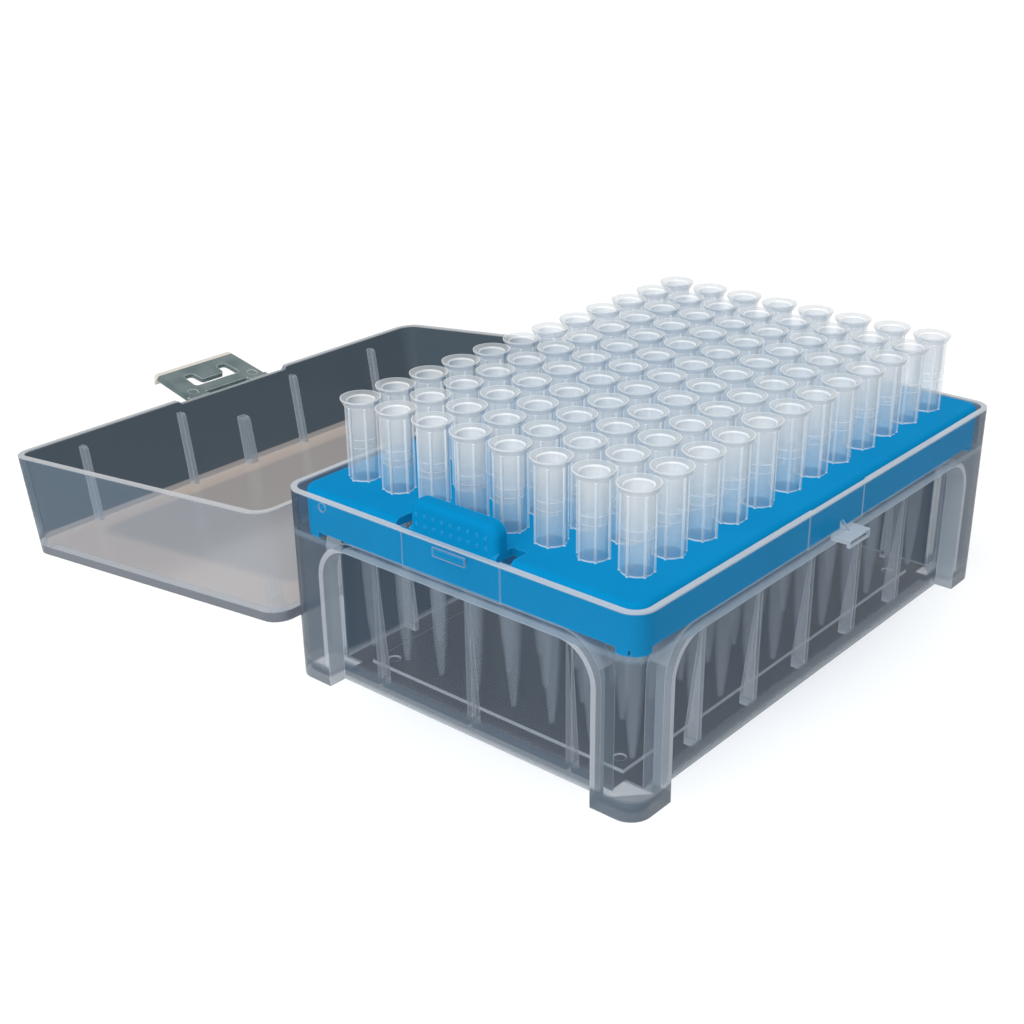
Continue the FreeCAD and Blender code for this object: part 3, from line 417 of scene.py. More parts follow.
@dataclass(frozen=True)
class BoxForm:
    """Outline of an open moulded box, by which its faces are told apart.

    Attributes:
        centre: Middle of the outline.
        up: Direction out of the box's mouth, or of its outer bottom.
        half_length: Half its size along X at the top of the outline.
        half_width: Half its size across.
        half_height: Half its height.
        corner_radius: Radius of its upright corners.
        draft: Lean of its walls, as a slope.
        wall: How far in from the outer face the walls reach.
        floor: Height of the floor's upper face over the centre.
    """

    centre: Place
    up: Place
    half_length: float
    half_width: float
    half_height: float
    corner_radius: float
    draft: float
    wall: float
    floor: float

    @property
    def side(self) -> Place:
        """Direction across the box, level with its rim."""
        return (0.0, self.up[2], -self.up[1])


@dataclass(frozen=True)
class Spot:
    """What the nodes know of a point on a clear moulding, as sockets.

    Attributes:
        places: Place along the box's own three directions.
        halves: Half sizes of the box along them, at the point's height.
        depth: Distance in from the outer walls.
        outside: 1 on faces that look out of the box.
        inside: 1 on faces that look into it.
        floor: 1 on the faces of its floor.
        ribs: 1 on what stands out from the inside of its walls.
        edges: 1 on sharp edges.
    """

    places: list
    halves: list
    depth: Socket
    outside: Socket
    inside: Socket
    floor: Socket
    ribs: Socket
    edges: Socket

    @property
    def height(self) -> Socket:
        """Height over the box's centre."""
        return self.places[2]


@dataclass(frozen=True)
class ClearPlastic:
    """Clear moulded plastic: hazy outside, a dark painted shade on faces inside, pale ribs, painted
    highlights on edges.

    Attributes:
        name: Name of the material.
        form: Outline of the box that it is for.
        outside: Skin of faces that look out of the box.
        inside: Skin of faces that look into it, a dark painted shade for the shade and dark surround seen
            through the walls.
        flank: Skin of faces across a wall.
        column: Skin of inner faces close to the outer wall, a paler copy of that painted shade.
        proud: Skin of what stands out past the outline.
        rib: Skin of ribs and gussets.
        floor: Skin of the floor.
        edge: Skin of sharp edges, a painted highlight.
        zones: Bands with skins of their own.
        arches: Recesses in the sides, where the box has them.
        rim: Height over the centre past which edges aren't lit.
        roughness: Roughness of the gloss.
        shine: Strength of the gloss.
        index: Refractive index.
        glaze: How much more solid a face is at a slant.
        far_alpha: Least alpha of a wall whose outer face is seen from within.
        sole: Colour of the floor's lower face, seen from within.
        flank_behind: How much of a flank shows from behind.
        detail_behind: How much of ribs and edges shows from behind.
        edge_width: How far edge light reaches.
        thin: Depth up to which an inner face is close to the outer wall.
    """

    name: str
    form: BoxForm
    outside: Skin
    inside: Skin
    flank: Skin
    column: Skin
    proud: Skin
    rib: Skin
    floor: Skin
    edge: Skin
    zones: tuple[Zone, ...] = ()
    arches: Arches | None = None
    rim: float = 1.0
    roughness: float = 0.16
    shine: float = 0.3
    index: float = 1.49
    glaze: float = 0.5
    far_alpha: float = 0.85
    sole: Colour = (0.12, 0.15, 0.18)
    flank_behind: float = 0.6
    detail_behind: float = 0.5
    edge_width: float = 0.00035
    thin: float = 0.0025

    # Power by which the nearest wall alone decides which way is out.
    SQUARENESS = 9.0
    # Where a face starts to count as looking out, or as lying, and where it counts in full.
    OUTWARD = (0.45, 0.75)
    LYING = (0.6, 0.8)
    # Depth in from the walls, and under the floor, over which proud parts and the sole come in.
    PROUD_DEPTH = (-0.0001, -0.0003)
    SOLE_DEPTH = (0.0001, 0.0004)
    # Lengths over which one skin passes into the next.
    FADE = 0.0003
    RIB_FADE = 0.0004
    RIM_FADE = 0.0002
    THIN_FADE = 0.0005

    def outline(self, wire: Wiring) -> tuple[list, list, list]:
        """Place and normal along the box's own directions, and its half sizes there.

        Args:
            wire: Maker of the material's nodes.

        Returns:
            The places, the parts of the normal and the half sizes, which narrow with the draft.
        """
        source = wire.node("ShaderNodeTexCoord").outputs
        place = wire.vector("SUBTRACT", source["Object"], self.form.centre).outputs[0]
        axes = ((1.0, 0.0, 0.0), self.form.side, self.form.up)
        places, normals = (
            [wire.vector("DOT_PRODUCT", given, axis).outputs["Value"] for axis in axes]
            for given in (place, source["Normal"])
        )
        below_top = wire.maths("SUBTRACT", places[2], self.form.half_height)
        lean = wire.maths("MULTIPLY", below_top, self.form.draft)
        halves = [wire.maths("ADD", lean, half)
                  for half in (self.form.half_length, self.form.half_width)]
        return places, normals, [*halves, self.form.half_height]

    def outwardness(self, wire: Wiring, places: list, normals: list, halves: list) -> Socket:
        """How far a face looks out of the box: 1 outside, -1 inside, 0 across a wall.

        Args:
            wire: Maker of the material's nodes.
            places: Places along the box's directions.
            normals: Normal's parts along them.
            halves: Half sizes along them.

        Returns:
            The number's socket.
        """
        total, length = 0.0, 0.0
        for place, normal, half in zip(places, normals, halves):
            pull = wire.maths("POWER", wire.maths("DIVIDE", place, half), self.SQUARENESS)
            total = wire.maths("ADD", total, wire.maths("MULTIPLY", pull, normal))
            length = wire.maths("ADD", length, wire.maths("MULTIPLY", pull, pull))
        return wire.maths("DIVIDE", total, wire.maths("SQRT", length))

    def depth(self, wire: Wiring, places: list, halves: list) -> Socket:
        """Distance in from the box's outer walls.

        Args:
            wire: Maker of the material's nodes.
            places: Places along the box's directions.
            halves: Half sizes along them.

        Returns:
            The distance's socket.
        """
        radius = self.form.corner_radius
        over = [
            wire.maths("ADD", radius,
                       wire.maths("SUBTRACT", wire.maths("ABSOLUTE", place), half))
            for place, half in zip(places[:2], halves[:2])
        ]
        return wire.maths("SUBTRACT", radius, wire.corner(*over))

    def read(self, wire: Wiring) -> Spot:
        """Tell the faces of the moulding apart.

        Args:
            wire: Maker of the material's nodes.

        Returns:
            What is known of the point that is shaded.
        """
        places, normals, halves = self.outline(wire)
        height, floor = places[2], self.form.floor
        outward = self.outwardness(wire, places, normals, halves)
        lying = wire.spread(wire.maths("ABSOLUTE", normals[2]), *self.LYING)
        depth = self.depth(wire, places, halves)
        below_rim = wire.spread(height, self.rim, self.rim - self.RIM_FADE)
        return Spot(
            places=places,
            halves=halves,
            depth=depth,
            outside=wire.spread(outward, *self.OUTWARD),
            inside=wire.spread(outward, *(-limit for limit in self.OUTWARD)),
            floor=wire.maths("MULTIPLY", lying, wire.spread(height, floor + self.FADE, floor)),
            ribs=wire.maths("MULTIPLY",
                            wire.spread(depth, self.form.wall, self.form.wall + self.FADE),
                            wire.spread(height, floor, floor + self.RIB_FADE)),
            edges=wire.maths("MULTIPLY", wire.edges(self.edge_width), below_rim),
        )

    def columns(self, wire: Wiring, spot: Spot) -> list[tuple[Socket, Socket, float]]:
        """Where the corner columns stand, along the box and across it.

        Args:
            wire: Maker of the material's nodes.
            spot: What is known of the point.

        Returns:
            For each direction, the distance from the middle, the half size and the column's size.
        """
        sizes = (self.arches.column_length, self.arches.column_width)
        return [(wire.maths("ABSOLUTE", place), half, size)
                for place, half, size in zip(spot.places, spot.halves, sizes)]

    def arch_lines(self, wire: Wiring, spot: Spot) -> Socket:
        """Share that is 1 on the painted highlight line round each recess.

        Args:
            wire: Maker of the material's nodes.
            spot: What is known of the point.

        Returns:
            The share's socket.
        """
        arches = self.arches
        rise = wire.maths("SUBTRACT", spot.height, arches.top - arches.radius)
        lines = 0.0
        for away, half, size in self.columns(wire, spot):
            start = wire.maths("SUBTRACT", half, size + arches.radius)
            distance = wire.corner(wire.maths("SUBTRACT", away, start), rise)
            line = wire.band(distance, arches.radius, arches.radius + arches.line,
                             arches.line_soft)
            lines = wire.maths("MAXIMUM", lines, line)
        return lines

    def nooks(self, wire: Wiring, spot: Spot) -> Socket:
        """Share that is 1 inside the corner columns.

        Args:
            wire: Maker of the material's nodes.
            spot: What is known of the point.

        Returns:
            The share's socket.
        """
        arches = self.arches
        share = 1.0
        for away, half, size in self.columns(wire, spot):
            start = wire.maths("SUBTRACT", half, size - arches.column_skin)
            past = wire.maths("SUBTRACT", away, start)
            share = wire.maths("MULTIPLY", share, wire.spread(past, 0.0, arches.nook_fade))
        below = wire.spread(spot.height, arches.top + arches.ledge_fade, arches.top)
        return wire.maths("MULTIPLY", share, below)

    def layers(self, wire: Wiring, spot: Spot) -> list[tuple[Socket, Skin]]:
        """Skins over the flanks' own, from the lowest up.

        Args:
            wire: Maker of the material's nodes.
            spot: What is known of the point.

        Returns:
            Pairs of a share's socket and the skin that shows there.
        """
        # Inner faces take a dark painted shade, paler where they lie close to the outer wall.
        near = wire.spread(spot.depth, self.thin, self.thin - self.THIN_FADE)
        layers = [
            (spot.inside, self.inside),
            (wire.maths("MULTIPLY", spot.inside, near), self.column),
            (spot.ribs, self.rib),
            (spot.floor, self.floor),
            (spot.outside, self.outside),
            (wire.spread(spot.depth, *self.PROUD_DEPTH), self.proud),
        ]
        if self.arches is not None:
            # Nooks take a paler copy of the painted shade; the lines round the recesses are painted
            # highlights.
            nooks = wire.maths("MULTIPLY", self.nooks(wire, spot), wire.without(spot.outside))
            lines = wire.maths("MULTIPLY", self.arch_lines(wire, spot), spot.outside)
            layers += [(nooks, self.arches.nook), (lines, self.arches.skin)]
        faces = {Face.ANY: 1.0, Face.OUTSIDE: spot.outside, Face.INSIDE: spot.inside}
        for zone in self.zones:
            share = wire.band(spot.height, zone.low, zone.high, zone.soft)
            layers.append((wire.maths("MULTIPLY", share, faces[zone.face]), zone.skin))
        # Sharp edges take a painted highlight over everything.
        return [*layers, (spot.edges, self.edge)]

    def from_behind(self, wire: Wiring, spot: Spot, colour: object,
                    alpha: object) -> tuple[Socket, Socket]:
        """Keep only what is seen of faces from behind: far walls, the sole, flanks and ribs.

        Args:
            wire: Maker of the material's nodes.
            spot: What is known of the point.
            colour: Colour of the face seen from the front.
            alpha: Alpha of the face seen from the front.

        Returns:
            Sockets of the colour and of the alpha.
        """
        back = wire.node("ShaderNodeNewGeometry").outputs["Backfacing"]
        # Far walls seen from within take the inner faces' painted shade.
        far_wall = wire.maths("MULTIPLY", back, spot.inside)
        colour = wire.blend(far_wall, colour, self.inside.colour)
        low = wire.spread(spot.height, *(self.form.floor - depth for depth in self.SOLE_DEPTH))
        sole = wire.maths("MULTIPLY", back, low)
        colour = wire.blend(sole, colour, self.sole)
        opaque = wire.maths("MAXIMUM", far_wall, sole)
        alpha = wire.maths("MAXIMUM", alpha, wire.maths("MULTIPLY", opaque, self.far_alpha))
        detail = wire.maths("MAXIMUM", spot.ribs, spot.edges)
        flank = wire.maths("MULTIPLY", wire.without(spot.outside),
                           wire.without(wire.maths("MAXIMUM", spot.inside, spot.floor)))
        kept = wire.maths("MAXIMUM", wire.without(back), opaque)
        kept = wire.maths("MAXIMUM", kept, wire.maths("MULTIPLY", detail, self.detail_behind))
        kept = wire.maths("MAXIMUM", kept, wire.maths("MULTIPLY", flank, self.flank_behind))
        return colour, wire.maths("MULTIPLY", alpha, kept)

    def build(self) -> bpy.types.Material:
        """Make the material."""
        wire = Wiring.material(self.name)
        spot = self.read(wire)
        colour, alpha = wire.stack(self.flank, self.layers(wire, spot))
        alpha = wire.glaze(alpha, self.index, self.glaze)
        colour, alpha = self.from_behind(wire, spot, colour, alpha)
        wire.owner.use_backface_culling = True
        return wire.close(wire.plastic({
            "Base Color": colour,
            "Alpha": alpha,
            "Roughness": self.roughness,
            "IOR": self.index,
            "Specular IOR Level": self.shine,
        }))


@dataclass(frozen=True)
class SolidPlastic:
    """Opaque moulded plastic with a faint mottle, an eggshell sheen and a painted highlight on its edges.

    Attributes:
        name: Name of the material.
        colour: Its colour.
        shade: Colour of the mottle's darker parts.
        edge_highlight: Colour of the painted highlight on its edges.
        roughness: Middle roughness.
        roughness_spread: How far the roughness goes either way with the grain.
        shine: Strength of the gloss.
        mottle_scale: Cycles of the mottle per metre.
        grain_scale: Cycles of the grain per metre.
        grain_strength: How much of the grain shows.
        grain_height: Height of the grain in metres.
        edge_width: How far edge light reaches.
    """

    name: str
    colour: Colour
    shade: Colour
    edge_highlight: Colour
    roughness: float = 0.36
    roughness_spread: float = 0.06
    shine: float = 0.2
    mottle_scale: float = 60.0
    grain_scale: float = 900.0
    grain_strength: float = 0.25
    grain_height: float = 0.00005
    edge_width: float = 0.0004

    # Middle part of each noise's range, which is spread out from 0 to 1.
    MOTTLE = (0.35, 0.65)
    GRAIN = (0.3, 0.7)

    def build(self) -> bpy.types.Material:
        """Make the material."""
        wire = Wiring.material(self.name)
        place = wire.node("ShaderNodeTexCoord").outputs["Object"]
        mottle = wire.spread(wire.noise(self.mottle_scale, 3.0, place), *self.MOTTLE)
        colour = wire.blend(mottle, self.colour, self.shade)
        grain = wire.noise(self.grain_scale, 2.0, place)
        low, high = self.roughness - self.roughness_spread, self.roughness + self.roughness_spread
        # Edges and small bumps take a paler blue, a painted highlight.
        return wire.close(wire.plastic({
            "Base Color": wire.blend(wire.edges(self.edge_width), colour, self.edge_highlight),
            "Roughness": wire.spread(grain, *self.GRAIN, low, high),
            "Normal": wire.bump(grain, self.grain_strength, self.grain_height),
            "Specular IOR Level": self.shine,
        }))


@dataclass(frozen=True)
class SmokedPlastic:
    """Thin clear moulding that reads as a dark tint, with a painted highlight on its edges and a pale
    lip.

    Attributes:
        name: Name of the material.
        body: Colour of its faces.
        cloud: Colour of the paler clouds in them.
        edge: Colour of the painted highlight on its edges.
        lip: Colour of the lip at its free end.
        root: Point at its fixed end.
        along: Direction from there to the lip.
        lip_start: Distance from the root at which the lip starts.
        lip_fade: Length over which the lip's colour comes in.
        cloud_scale: Cycles of the clouds per metre.
        edge_width: How far edge light reaches.
        edge_sharp: Likeness of the normals at which it is full.
        roughness: Roughness of the gloss.
        shine: Strength of the gloss.
    """

    name: str
    body: Colour
    cloud: Colour
    edge: Colour
    lip: Colour
    root: Place
    along: Place
    lip_start: float
    lip_fade: float = 0.0003
    cloud_scale: float = 130.0
    edge_width: float = 0.0004
    edge_sharp: float = 0.88
    roughness: float = 0.2
    shine: float = 0.35

    # Middle part of the noise's range, which is spread out from 0 to 1.
    CLOUDS = (0.35, 0.65)

    def build(self) -> bpy.types.Material:
        """Make the material."""
        wire = Wiring.material(self.name)
        place = wire.node("ShaderNodeTexCoord").outputs["Object"]
        reach = wire.vector("SUBTRACT", place, self.root).outputs[0]
        length = wire.vector("DOT_PRODUCT", reach, self.along).outputs["Value"]
        clouds = wire.spread(wire.noise(self.cloud_scale, 2.0, place), *self.CLOUDS)
        colour = wire.blend(clouds, self.body, self.cloud)
        lip = wire.spread(length, self.lip_start, self.lip_start + self.lip_fade)
        colour = wire.blend(lip, colour, self.lip)
        # Edges take a paler colour, a painted highlight.
        return wire.close(wire.plastic({
            "Base Color": wire.blend(wire.edges(self.edge_width, self.edge_sharp), colour,
                                     self.edge),
            "Roughness": self.roughness,
            "Specular IOR Level": self.shine,
        }))


@dataclass(frozen=True)
class Patch:
    """Part of every tip with a skin of its own.

    Attributes:
        low: Height over the rack's plate at which it starts.
        high: Height at which it ends.
        inner: Distance from the tip's axis at which it starts.
        outer: Distance at which it ends.
        skin: What shows there.
        fade: Half the height of its fades.
        soft: Half the width of its fades across.
    """

    low: float
    high: float
    inner: float
    outer: float
    skin: Skin
    fade: float = 0.00008
    soft: float = 0.00006


@dataclass(frozen=True)
class FrostedTip:
    """Natural polypropylene of the tips: milky above, clearer below, with painted highlights on ribs and
    edges, and painted light in the bore.

    Attributes:
        name: Name of the material.
        hanging: Skin of the cone under the plate.
        patches: Skins over it, from the lowest up.
        pitch: Distance between two tips, with an axis in the middle of each cell.
        plate_top: Height of the rack's plate.
        roughness: Roughness of the gloss.
        shine: Strength of the gloss.
        index: Refractive index.
        glaze: How much more solid a face is at a slant.
    """

    name: str
    hanging: Skin
    patches: tuple[Patch, ...]
    pitch: float
    plate_top: float
    roughness: float = 0.24
    shine: float = 0.4
    index: float = 1.49
    glaze: float = 0.8

    def radius(self, wire: Wiring, across: list) -> Socket:
        """Distance from the axis of the nearest tip in the grid.

        Args:
            wire: Maker of the material's nodes.
            across: Sockets of the place along X and along Y.

        Returns:
            The distance's socket.
        """
        squares = 0.0
        for place in across:
            cell = wire.maths("FLOORED_MODULO", place, self.pitch)
            off = wire.maths("SUBTRACT", cell, self.pitch / 2.0)
            squares = wire.maths("ADD", squares, wire.maths("MULTIPLY", off, off))
        return wire.maths("SQRT", squares)

    def build(self) -> bpy.types.Material:
        """Make the material."""
        wire = Wiring.material(self.name)
        parts = wire.node("ShaderNodeSeparateXYZ")
        wire.feed(parts.inputs[0], wire.node("ShaderNodeTexCoord").outputs["Object"])
        over_plate = wire.maths("SUBTRACT", parts.outputs["Z"], self.plate_top)
        radius = self.radius(wire, [parts.outputs["X"], parts.outputs["Y"]])
        layers = []
        for patch in self.patches:
            tall = wire.band(over_plate, patch.low, patch.high, patch.fade)
            wide = wire.band(radius, patch.inner, patch.outer, patch.soft)
            layers.append((wire.maths("MULTIPLY", tall, wide), patch.skin))
        colour, alpha = wire.stack(self.hanging, layers)
        alpha = wire.glaze(alpha, self.index, self.glaze)
        front = wire.without(wire.node("ShaderNodeNewGeometry").outputs["Backfacing"])
        wire.owner.use_backface_culling = True
        return wire.close(wire.plastic({
            "Base Color": colour,
            "Alpha": wire.maths("MULTIPLY", alpha, front),
            "Roughness": self.roughness,
            "IOR": self.index,
            "Specular IOR Level": self.shine,
        }))


LID_UP = (0.0, 0.1087, 0.9941)
# Painted highlights for the sharp edges and rims of the clear shells.
EDGE_HIGHLIGHT = Skin((0.50, 0.54, 0.58), 0.72)
RIM_HIGHLIGHT = Skin((0.46, 0.50, 0.54), 0.8)

# A height or a radius past everything in the box.
WHOLE = 1.0

BASE_FORM = BoxForm(
    centre=(0.0, 0.0, 0.0196),
    up=(0.0, 0.0, 1.0),
    half_length=0.0616,
    half_width=0.04125,
    half_height=0.0196,
    corner_radius=0.0042,
    draft=0.0,
    wall=0.0052,
    floor=-0.0172,
)
LID_FORM = BoxForm(
    centre=(0.0, 0.08760, 0.01610),
    up=LID_UP,
    half_length=0.0633,
    half_width=0.04295,
    half_height=0.011625,
    corner_radius=0.0048,
    draft=0.03265,
    wall=0.0016,
    floor=-0.0088,
)
BASE_SHELL = ClearPlastic(
    name="clear_shell_base",
    form=BASE_FORM,
    outside=Skin((0.125, 0.170, 0.225), 0.20),
    # Inner faces: dark painted shade, paler near the outer wall.
    inside=Skin((0.048, 0.074, 0.104), 0.94),
    flank=Skin((0.32, 0.37, 0.42), 0.74),
    column=Skin((0.20, 0.25, 0.31), 0.72),
    proud=Skin((0.42, 0.48, 0.54), 0.62),
    rib=Skin((0.36, 0.40, 0.45), 0.42),
    # Floor: a dark painted shade under the rack.
    floor=Skin((0.070, 0.073, 0.085), 0.95),
    edge=EDGE_HIGHLIGHT,
    zones=(
        # Foot as painted shade, ledge as painted light over the shade under the rack's skirt, wall in
        # front of the rack darkened as painted shade, and rim as a painted highlight.
        Zone(-WHOLE, -0.0155, Skin((0.080, 0.112, 0.150), 0.84), Face.OUTSIDE, 0.0006),
        Zone(0.0106, 0.0119, Skin((0.22, 0.33, 0.43), 0.34), Face.OUTSIDE, 0.0003),
        Zone(0.0119, WHOLE, Skin((0.015, 0.09, 0.17), 0.14), Face.OUTSIDE, 0.0003),
        Zone(0.01925, WHOLE, RIM_HIGHLIGHT),
    ),
    arches=Arches(
        column_length=0.0100,
        column_width=0.00965,
        top=0.0106,
        radius=0.0070,
        line=0.0011,
        # Painted highlight line round each recess, and a paler painted shade in the nooks.
        skin=Skin((0.38, 0.41, 0.46), 0.74),
        nook=Skin((0.16, 0.205, 0.26), 0.44),
    ),
    rim=0.0190,
    flank_behind=0.75,
)
LID_SHELL = ClearPlastic(
    name="clear_shell_lid",
    form=LID_FORM,
    outside=Skin((0.23, 0.33, 0.45), 0.20),
    # Inner faces: dark painted shade, the same near the walls.
    inside=Skin((0.060, 0.082, 0.103), 0.95),
    flank=Skin((0.26, 0.29, 0.31), 0.70),
    column=Skin((0.060, 0.082, 0.103), 0.95),
    proud=Skin((0.30, 0.35, 0.40), 0.60),
    rib=Skin((0.22, 0.26, 0.30), 0.55),
    floor=Skin((0.42, 0.365, 0.33), 0.95),
    # Painted highlight on sharp edges.
    edge=Skin((0.33, 0.34, 0.35), 0.70),
    zones=(
        # Outer bottom edge darkened as painted shade, round between the floor and the walls, and rim as a
        # painted highlight.
        Zone(-WHOLE, -0.0094, Skin((0.10, 0.12, 0.155), 0.85)),
        Zone(-0.0094, -0.0078, Skin((0.30, 0.28, 0.27), 0.90), Face.INSIDE),
        Zone(0.01135, WHOLE, Skin((0.42, 0.44, 0.46), 0.80)),
    ),
    rim=0.0111,
    sole=(0.36, 0.36, 0.36),
)
CLIP_SHELL = SmokedPlastic(
    name="clear_shell_clip",
    body=(0.055, 0.095, 0.100),
    cloud=(0.10, 0.14, 0.145),
    # Painted highlight on the clip's edges.
    edge=(0.50, 0.52, 0.52),
    lip=(0.60, 0.56, 0.50),
    root=(0.0, 0.131898, 0.021543),
    along=(0.0, 0.9754, 0.2204),
    lip_start=0.0132,
)
RACK_BLUE = SolidPlastic(
    name="blue_rack_plastic",
    colour=(0.0025, 0.218, 0.480),
    shade=(0.002, 0.207, 0.455),
    # Painted highlight on the rack's edges and small bumps.
    edge_highlight=(0.03, 0.33, 0.64),
    shine=0.003,
)
TIP_FROST = FrostedTip(
    name="frosted_tip",
    hanging=Skin((0.27, 0.32, 0.38), 0.26),
    patches=(
        # Neck in the rack's hole.
        Patch(-0.006, 0.0, 0.0023, 0.01, Skin((0.40, 0.47, 0.55), 0.25)),
        # Body over the plate, milkier towards the lip; the blue just over the plate is painted light from
        # the blue rack.
        Patch(0.0, WHOLE, 0.0, 0.01, Skin((0.46, 0.55, 0.61), 0.40)),
        Patch(0.0, 0.0016, 0.0, 0.01, Skin((0.30, 0.52, 0.70), 0.46), fade=0.0014),
        Patch(0.0100, WHOLE, 0.0, 0.01, Skin((0.54, 0.565, 0.58), 0.50), fade=0.0050),
        # Bore, with painted light that brightens it towards the mouth.
        Patch(0.0070, 0.0152, 0.0, 0.00245, Skin((0.64, 0.68, 0.70), 0.60), fade=0.0060),
        Patch(0.0125, 0.0152, 0.0, 0.00245, Skin((0.80, 0.82, 0.83), 0.75), fade=0.0025),
        # Ribs, with a painted highlight.
        Patch(0.0, 0.0144, 0.0028, 0.0032, Skin((0.64, 0.70, 0.75), 0.50)),
        # Steps inside the bore, pale rings of painted highlight.
        Patch(0.0065, 0.00664, 0.0, 0.00278, Skin((0.70, 0.75, 0.79), 0.50)),
        Patch(0.0081, 0.00824, 0.0, 0.00278, Skin((0.70, 0.75, 0.79), 0.50)),
        # Foot of the body on the plate.
        Patch(0.0, 0.0003, 0.0026, 0.004, Skin((0.74, 0.81, 0.87), 0.80)),
        # Blue of the rack, seen down the bore.
        Patch(-0.006, 0.0003, 0.0, 0.00235, Skin((0.01, 0.19, 0.42), 0.96)),
        # Edge under the lip, a painted highlight.
        Patch(0.0142, 0.01445, 0.00272, 0.0032, Skin((0.76, 0.79, 0.81), 0.75)),
        # Dish of the lip.
        Patch(0.0150, WHOLE, 0.00266, 0.0036, Skin((0.46, 0.50, 0.52), 0.48)),
        # Edge of the mouth, a painted highlight.
        Patch(0.01495, 0.01525, 0.0024, 0.00266, Skin((0.78, 0.80, 0.82), 0.72)),
        # Rim of the lip.
        Patch(0.0154, WHOLE, 0.00358, 0.01, Skin((0.60, 0.64, 0.67), 0.78)),
    ),
    pitch=0.009,
    plate_top=0.03975,
)


@dataclass(frozen=True)
class Viewpoint:
    """Camera that looks at the open box from the grip's corner.

    Attributes:
        azimuth: Turn of the view about the upright axis, in degrees.
        elevation: How far down it looks, in degrees.
        roll: Turn about its own axis, in degrees.
        focal_length: Focal length in millimetres.
        sensor_width: Width of the sensor in millimetres.
        place: Where the camera stands.
        shift_x: Shift of the lens to the side, as a share of the width.
        shift_y: Shift of the lens upward.
        clip_start: Nearest distance that is seen.
    """

    azimuth: float = -49.686
    elevation: float = 26.04
    roll: float = -0.445
    focal_length: float = 54.368824
    sensor_width: float = 36.0
    place: Place = (-0.232291, -0.164596, 0.150547)
    shift_x: float = -0.021251
    shift_y: float = 0.054880
    clip_start: float = 0.01

    def build(self) -> bpy.types.Object:
        """Make the camera and give it to the scene."""
        turn, tilt, roll = (radians(angle) for angle in (self.azimuth, self.elevation, self.roll))
        back = Vector((sin(turn) * cos(tilt), -cos(turn) * cos(tilt), sin(tilt)))
        right = (-back).cross(Vector((0.0, 0.0, 1.0))).normalized()
        up = right.cross(-back)
        across = cos(roll) * right + sin(roll) * up
        upright = cos(roll) * up - sin(roll) * right
        lens = bpy.data.cameras.new("camera")
        lens.sensor_width = self.sensor_width
        lens.lens = self.focal_length
        lens.shift_x = self.shift_x
        lens.shift_y = self.shift_y
        lens.clip_start = self.clip_start
        camera = bpy.data.objects.new("camera", lens)
        bpy.context.scene.collection.objects.link(camera)
        turned = Matrix((across, upright, back)).transposed().to_4x4()
        camera.matrix_world = Matrix.Translation(self.place) @ turned
        bpy.context.scene.camera = camera
        return camera


@dataclass(frozen=True)
class Lamp:
    """Soft square lamp that points at the box.

    Attributes:
        name: Name of the lamp.
        place: Where it stands.
        width: Size of its side.
        power: Power in watts.
        target: Point that it is aimed at.
    """

    name: str
    place: Place
    width: float
    power: float
    target: Place = (0.0, 0.04, 0.02)

    def build(self) -> bpy.types.Object:
        """Make the lamp."""
        light = bpy.data.lights.new(self.name, "AREA")
        light.shape = "SQUARE"
        light.size = self.width
        light.energy = self.power
        lamp = bpy.data.objects.new(self.name, light)
        bpy.context.scene.collection.objects.link(lamp)
        aim = Vector(self.target) - Vector(self.place)
        lamp.matrix_world = (
            Matrix.Translation(self.place) @ aim.to_track_quat("-Z", "Y").to_matrix().to_4x4()
        )
        return lamp


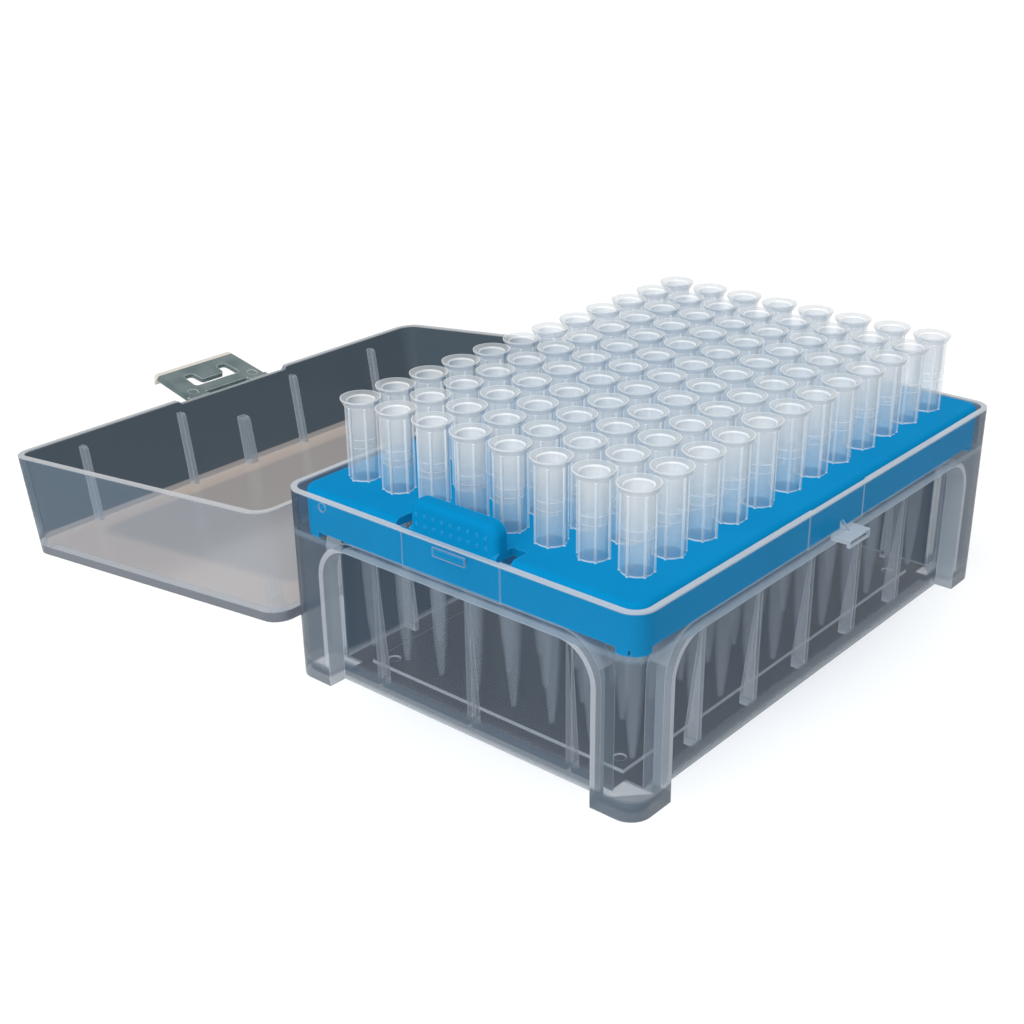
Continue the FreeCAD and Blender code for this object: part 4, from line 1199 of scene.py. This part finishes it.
@dataclass
class Studio:
    """Pale floor, white surround and soft lamps.

    Attributes:
        floor_width: Side of the floor.
        floor_colour: Colour of the floor.
        near_glow: What is added to the floor's light near the box.
        far_glow: What is added far away, where the lamps don't reach.
        near: Distance up to which the near glow holds.
        far: Distance from which the far glow holds.
        sky_level: Strength of the surround's light, which looks white all the same.
        lamps: The lamps.
    """

    floor_width: float = 8.0
    floor_colour: Colour = (0.80, 0.80, 0.80)
    near_glow: float = 0.22
    far_glow: float = 0.60
    near: float = 0.25
    far: float = 0.9
    sky_level: float = 0.55
    lamps: tuple[Lamp, ...] = field(
        default_factory=lambda: (
            Lamp("key_lamp", (-0.35, -0.20, 0.95), 0.7, 5.5),
            Lamp("side_lamp", (-1.0, 0.05, 0.35), 0.7, 4.0),
            Lamp("fill_lamp", (0.8, 0.3, 0.8), 0.8, 2.0),
        )
    )

    def build_floor(self) -> bpy.types.Object:
        """Lay the floor just under the box."""
        bpy.ops.mesh.primitive_plane_add(size=self.floor_width, location=(0.0, 0.0, 0.0))
        floor = bpy.context.object
        floor.name = "floor"
        wire = Wiring.material("studio_floor")
        matt = wire.node("ShaderNodeBsdfDiffuse")
        wire.feed(matt.inputs["Color"], self.floor_colour)
        place = wire.node("ShaderNodeTexCoord").outputs["Object"]
        away = wire.vector("DISTANCE", place, (0.0, 0.0, 0.0)).outputs["Value"]
        level = wire.spread(away, self.near, self.far, self.near_glow, self.far_glow)
        glow = wire.node("ShaderNodeEmission")
        wire.feed(glow.inputs["Strength"], wire.maths("MULTIPLY", wire.seen_rays(), level))
        both = wire.node("ShaderNodeAddShader")
        wire.feed(both.inputs[0], matt.outputs[0])
        wire.feed(both.inputs[1], glow.outputs[0])
        floor.data.materials.append(wire.close(both.outputs[0]))
        return floor

    def build_sky(self) -> bpy.types.World:
        """Surround the box with even light that looks white."""
        wire = Wiring(bpy.data.worlds.new("surround"))
        light = wire.node("ShaderNodeBackground")
        wire.feed(light.inputs["Color"], (1.0, 1.0, 1.0))
        wire.feed(light.inputs["Strength"],
                  wire.spread(wire.seen_rays(), 0.0, 1.0, self.sky_level, 1.0))
        bpy.context.scene.world = wire.close(light.outputs[0])
        return bpy.context.scene.world

    def build(self) -> None:
        """Make the whole studio."""
        self.build_floor()
        self.build_sky()
        for lamp in self.lamps:
            lamp.build()


@dataclass
class TipBox:
    """The whole box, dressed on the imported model's own parts.

    Attributes:
        frame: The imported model, with its parts by name.
        columns: Number of columns of tips.
    """

    frame: dict
    columns: int = 12

    def dress(self, node: str, material: bpy.types.Material, clear: bool = True) -> None:
        """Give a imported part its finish.

        Args:
            node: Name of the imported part.
            material: Finish for every face of it.
            clear: Whether lamplight goes through the part.
        """
        shown = self.frame["nodes"][node]
        shown.visible_shadow = not clear
        shown.visible_diffuse = not clear
        for slot in shown.material_slots:
            slot.material = material
        LOG.info("dressed %s in %s", node, material.name)

    def build(self) -> None:
        """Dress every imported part."""
        self.dress("base", BASE_SHELL.build())
        self.dress("lid", LID_SHELL.build())
        self.dress("latch_clip", CLIP_SHELL.build())
        self.dress("rack", RACK_BLUE.build(), clear=False)
        frost = TIP_FROST.build()
        for column in range(1, self.columns + 1):
            self.dress(f"tip_column_{column:02d}", frost)


def set_up_view() -> None:
    """Plain colour view, and enough bounces for the many clear layers."""
    scene = bpy.context.scene
    scene.view_settings.view_transform = "Standard"
    scene.cycles.transparent_max_bounces = 32
    scene.cycles.max_bounces = 4
    scene.cycles.diffuse_bounces = 2
    scene.cycles.glossy_bounces = 1


def main() -> None:
    """Build the whole scene in order."""
    logging.basicConfig(level=logging.INFO, format="%(message)s")
    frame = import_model()
    set_up_view()
    bpy.ops.object.select_all(action="DESELECT")
    Viewpoint().build()
    Studio().build()
    TipBox(frame).build()


if __name__ == "__main__":
    main()
